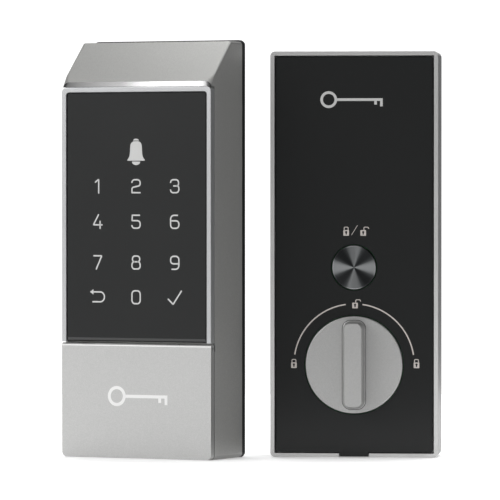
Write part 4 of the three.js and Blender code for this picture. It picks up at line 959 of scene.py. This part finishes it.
def spun_aluminium():
    """Dark metal, anisotropic round the button, with highlights painted in wedges by the angle u.
    """
    made, tree, bsdf, _ = material("dark_anodised_aluminium_painted_highlights", Metallic=1.0,
                                   Anisotropic=0.85)
    way = add(tree, "UVMap", uv_map="spin")
    tangent = add(tree, "Tangent", direction_type="UV_MAP", uv_map="spin")
    tree.links.new(tangent.outputs["Tangent"], bsdf.inputs["Tangent"])
    stretched = add(tree, "Mapping", {"Vector": way.outputs["UV"]})
    outwards = BUTTON_RADIUS * SCRATCHES_PER_MM
    stretched.inputs["Scale"].default_value = (SCRATCHES_AROUND, outwards, 1)
    scratches = add(tree, "TexNoise", {"Vector": stretched.outputs["Vector"]}, Scale=1.0,
                    Detail=3.0)
    round_it = add(tree, "SeparateXYZ", {"Vector": way.outputs["UV"]})
    # Painted highlights: the base colour is lighter in four wedges by the angle u.
    wedges = add(tree, "Math", {0: round_it.outputs["X"]}, operation="MULTIPLY")
    wedges.inputs[1].default_value = HIGHLIGHT_WEDGES * 2 * math.pi
    wave = add(tree, "Math", {0: wedges.outputs[0]}, operation="COSINE")
    share = add(tree, "MapRange", {"Value": wave.outputs[0]}, From_Min=-1.0, From_Max=1.0)
    share.interpolation_type = "SMOOTHSTEP"
    tones = ramp(tree, share.outputs["Result"], (0.0, "#2a2b2c"), (0.45, "#4d4f50"),
                 (1.0, "#9b9d9e"))
    tree.links.new(tones, bsdf.inputs["Base Color"])
    roughen(tree, bsdf, scratches.outputs["Fac"], 0.26, 0.42)
    emboss(tree, bsdf, scratches.outputs["Fac"], 0.006)
    return made


# %% Button
button_low, button_high = measure("button_face", INSIDE)
BUTTON_RADIUS = (button_high[0] - button_low[0]) / 2
BUTTON_HEIGHT = (button_high[2] + button_low[2]) / 2
button_section = np.concatenate([
    [[BUTTON_RADIUS - 0.02, button_low[1]], [BUTTON_RADIUS * 0.66, button_low[1]],
     [BUTTON_RADIUS * 0.33, button_low[1]]],
    edge_section(button_low[1], button_high[1], 0.4, 0.15, 4)])
button_rings = turned(radial(button_section, BUTTON_RADIUS), BUTTON_HEIGHT)
button = place("button_cap", [button_rings], INSIDE, "button_body", spun_aluminium(),
               "spun_aluminium", stands_for=["button_face"], crease=40)


def spin_map(piece, unit, centre_z):
    """UV map: u is the angle about the axis over a full turn, v the distance over the radius.

    In a face that crosses the start of the turn, the low values of u go up by one.
    """
    mesh = piece.data
    index = read(mesh.loops, "vertex_index", np.int32)
    starts = read(mesh.polygons, "loop_start", np.int32)
    totals = read(mesh.polygons, "loop_total", np.int32)
    away = in_unit(read(mesh.vertices, "co", width=3), unit)[:, (0, 2)] - (0.0, centre_z)
    u = (np.arctan2(away[:, 1], away[:, 0]) / (2 * np.pi) % 1.0)[index]
    v = np.linalg.norm(away, axis=1)[index] / BUTTON_RADIUS
    face_of = np.repeat(np.arange(len(totals)), totals)
    highest = np.maximum.reduceat(u, starts)[face_of]
    u = np.where((highest > 0.75) & (u < 0.25) & (totals[face_of] < 10), u + 1.0, u)
    layer = mesh.uv_layers.new(name="spin")
    layer.data.foreach_set("uv", np.stack([u, v], 1).ravel())


spin_map(button, INSIDE, BUTTON_HEIGHT)

# %% [markdown]
# ## Floor, light and camera
# The set stands on a wide pale floor in a bright studio. The world's brightness depends on the
# direction: light grey from the front left and from above, darker to the right, so that the
# silver sides read as grey, and white in a narrow cone behind the set, as a lit backdrop. The
# floor fades to grey a quarter of a metre in front of the set, or the black cover would mirror
# it as a pale band. The camera is two metres away with a long lens, level with the set's middle.

# %% Floor
FLOOR_RADIUS, FADE_START, FADE_END = 0.62, -0.26, -0.4  # m; the fade runs along y


def lit_acrylic():
    """White sheet lit from below, fading to pale grey well in front of the set."""
    made, tree, bsdf, place = material("white_acrylic_lit_from_below", Roughness=0.9)
    bsdf.inputs["Emission Strength"].default_value = 0.3
    ahead = add(tree, "SeparateXYZ", {"Vector": place}).outputs["Y"]
    share = add(tree, "MapRange", {"Value": ahead}, From_Min=FADE_END, From_Max=FADE_START)
    tone = ramp(tree, share.outputs["Result"], (0.0, "#808080"), (1.0, "#fefefe"))
    tree.links.new(tone, bsdf.inputs["Base Color"])
    tree.links.new(tone, bsdf.inputs["Emission Color"])
    return made


studio_paper = lit_acrylic()


def round_floor(radius, steps=64):
    """A flat disc: the centre and one ring of points joined by wedges."""
    angle = np.linspace(0, 2 * np.pi, steps, endpoint=False)
    ring = np.stack([radius * np.cos(angle), radius * np.sin(angle), np.zeros(steps)], 1)
    i = np.arange(steps)
    mesh = bpy.data.meshes.new("studio_floor")
    mesh.from_pydata(np.concatenate([[[0, 0, 0]], ring]).tolist(), [],
                     np.stack([np.zeros(steps, int), i + 1, (i + 1) % steps + 1], 1).tolist())
    mesh.materials.append(studio_paper)
    sheet = link("studio_floor", mesh)


round_floor(FLOOR_RADIUS)

# %% Studio light
BRIGHT_SIDE = (-0.8, -0.4, 0.45)  # direction of the brightest part of the room
BACKDROP = (-0.0922, 0.9957, -0.013)  # middle of the lit backdrop, straight behind the set
BACKDROP_WHITE = (1.3, 1.3, 1.3, 1)
world = bpy.data.worlds.new("studio")
bpy.context.scene.world = world
world.use_nodes = True
sky = world.node_tree
direction = add(sky, "TexCoord").outputs["Generated"]


def facing(target, low, high):
    """Share from 0 to 1 by which a direction's dot product with target goes from low to high."""
    along = add(sky, "VectorMath", {0: direction}, operation="DOT_PRODUCT")
    along.inputs[1].default_value = Vector(target).normalized()
    share = add(sky, "MapRange", {"Value": along.outputs["Value"]}, From_Min=low, From_Max=high)
    return share.outputs["Result"]


height = add(sky, "SeparateXYZ", {"Vector": direction}).outputs["Z"]
room = ramp(sky, facing(BRIGHT_SIDE, -1.0, 1.0), (0.0, "#7b7b7d"), (0.5, "#929293"),
            (1.0, "#e6e6e6"))
below = add(sky, "MapRange", {"Value": height}, From_Min=-0.35, From_Max=0.25, To_Min=0.25,
            To_Max=1.0)
dimmed = add(sky, "Mix", {"Factor": below.outputs["Result"], 7: room}, data_type="RGBA")
dimmed.inputs[6].default_value = linear("#2b2b2c")
lit = add(sky, "Mix", {"Factor": facing(BACKDROP, 0.985, 0.992), 6: dimmed.outputs[2]},
          data_type="RGBA")
lit.inputs[7].default_value = BACKDROP_WHITE
sky.links.new(lit.outputs[2], sky.nodes["Background"].inputs["Color"])
sky.nodes["Background"].inputs["Strength"].default_value = 0.9


def softbox(name, place_at, aim_at, width, height, power):
    """A rectangular area light at one point, turned to another."""
    light = bpy.data.lights.new(name, "AREA")
    light.shape = "RECTANGLE"
    light.size, light.size_y, light.energy = width, height, power
    lamp = link(name, light)
    lamp.location = place_at
    lamp.rotation_euler = (Vector(aim_at) - Vector(place_at)).to_track_quat("-Z", "Y").to_euler()


softbox("key_front_left", (-1.3, -1.0, 0.8), (0.0, 0.0, 0.09), 0.9, 0.9, 12)
softbox("top", (0.1, 0.5, 1.4), (0.0, 0.2, 0.0), 1.2, 0.8, 20)

# %% Camera
SENSOR, FOCAL_LENGTH = 36, 360  # mm
UNIT_TURN = math.radians(5.29)  # the camera looks this far to the left of the frame's y axis
CAMERA_RIGHT, CAMERA_AWAY, CAMERA_HEIGHT = 0.04728, 2.0707, 0.1134  # m, from the outside front
CAMERA_DIP = math.atan(0.0130)
camera_data = bpy.data.cameras.new("camera")
camera_data.sensor_width = SENSOR
camera_data.lens = FOCAL_LENGTH
camera_data.clip_end = 20
camera = link("camera", camera_data)
right = Vector((math.cos(UNIT_TURN), math.sin(UNIT_TURN), 0))
ahead = Vector((-math.sin(UNIT_TURN), math.cos(UNIT_TURN), 0))
outside_front = OUTSIDE @ Vector((0, cover_low[1] * MM, 0))
stand = outside_front + right * CAMERA_RIGHT - ahead * CAMERA_AWAY
camera.location = (stand.x, stand.y, CAMERA_HEIGHT)
camera.rotation_euler = (math.pi / 2 - CAMERA_DIP, 0, UNIT_TURN)
bpy.context.scene.camera = camera
bpy.context.scene.view_settings.view_transform = "Standard"
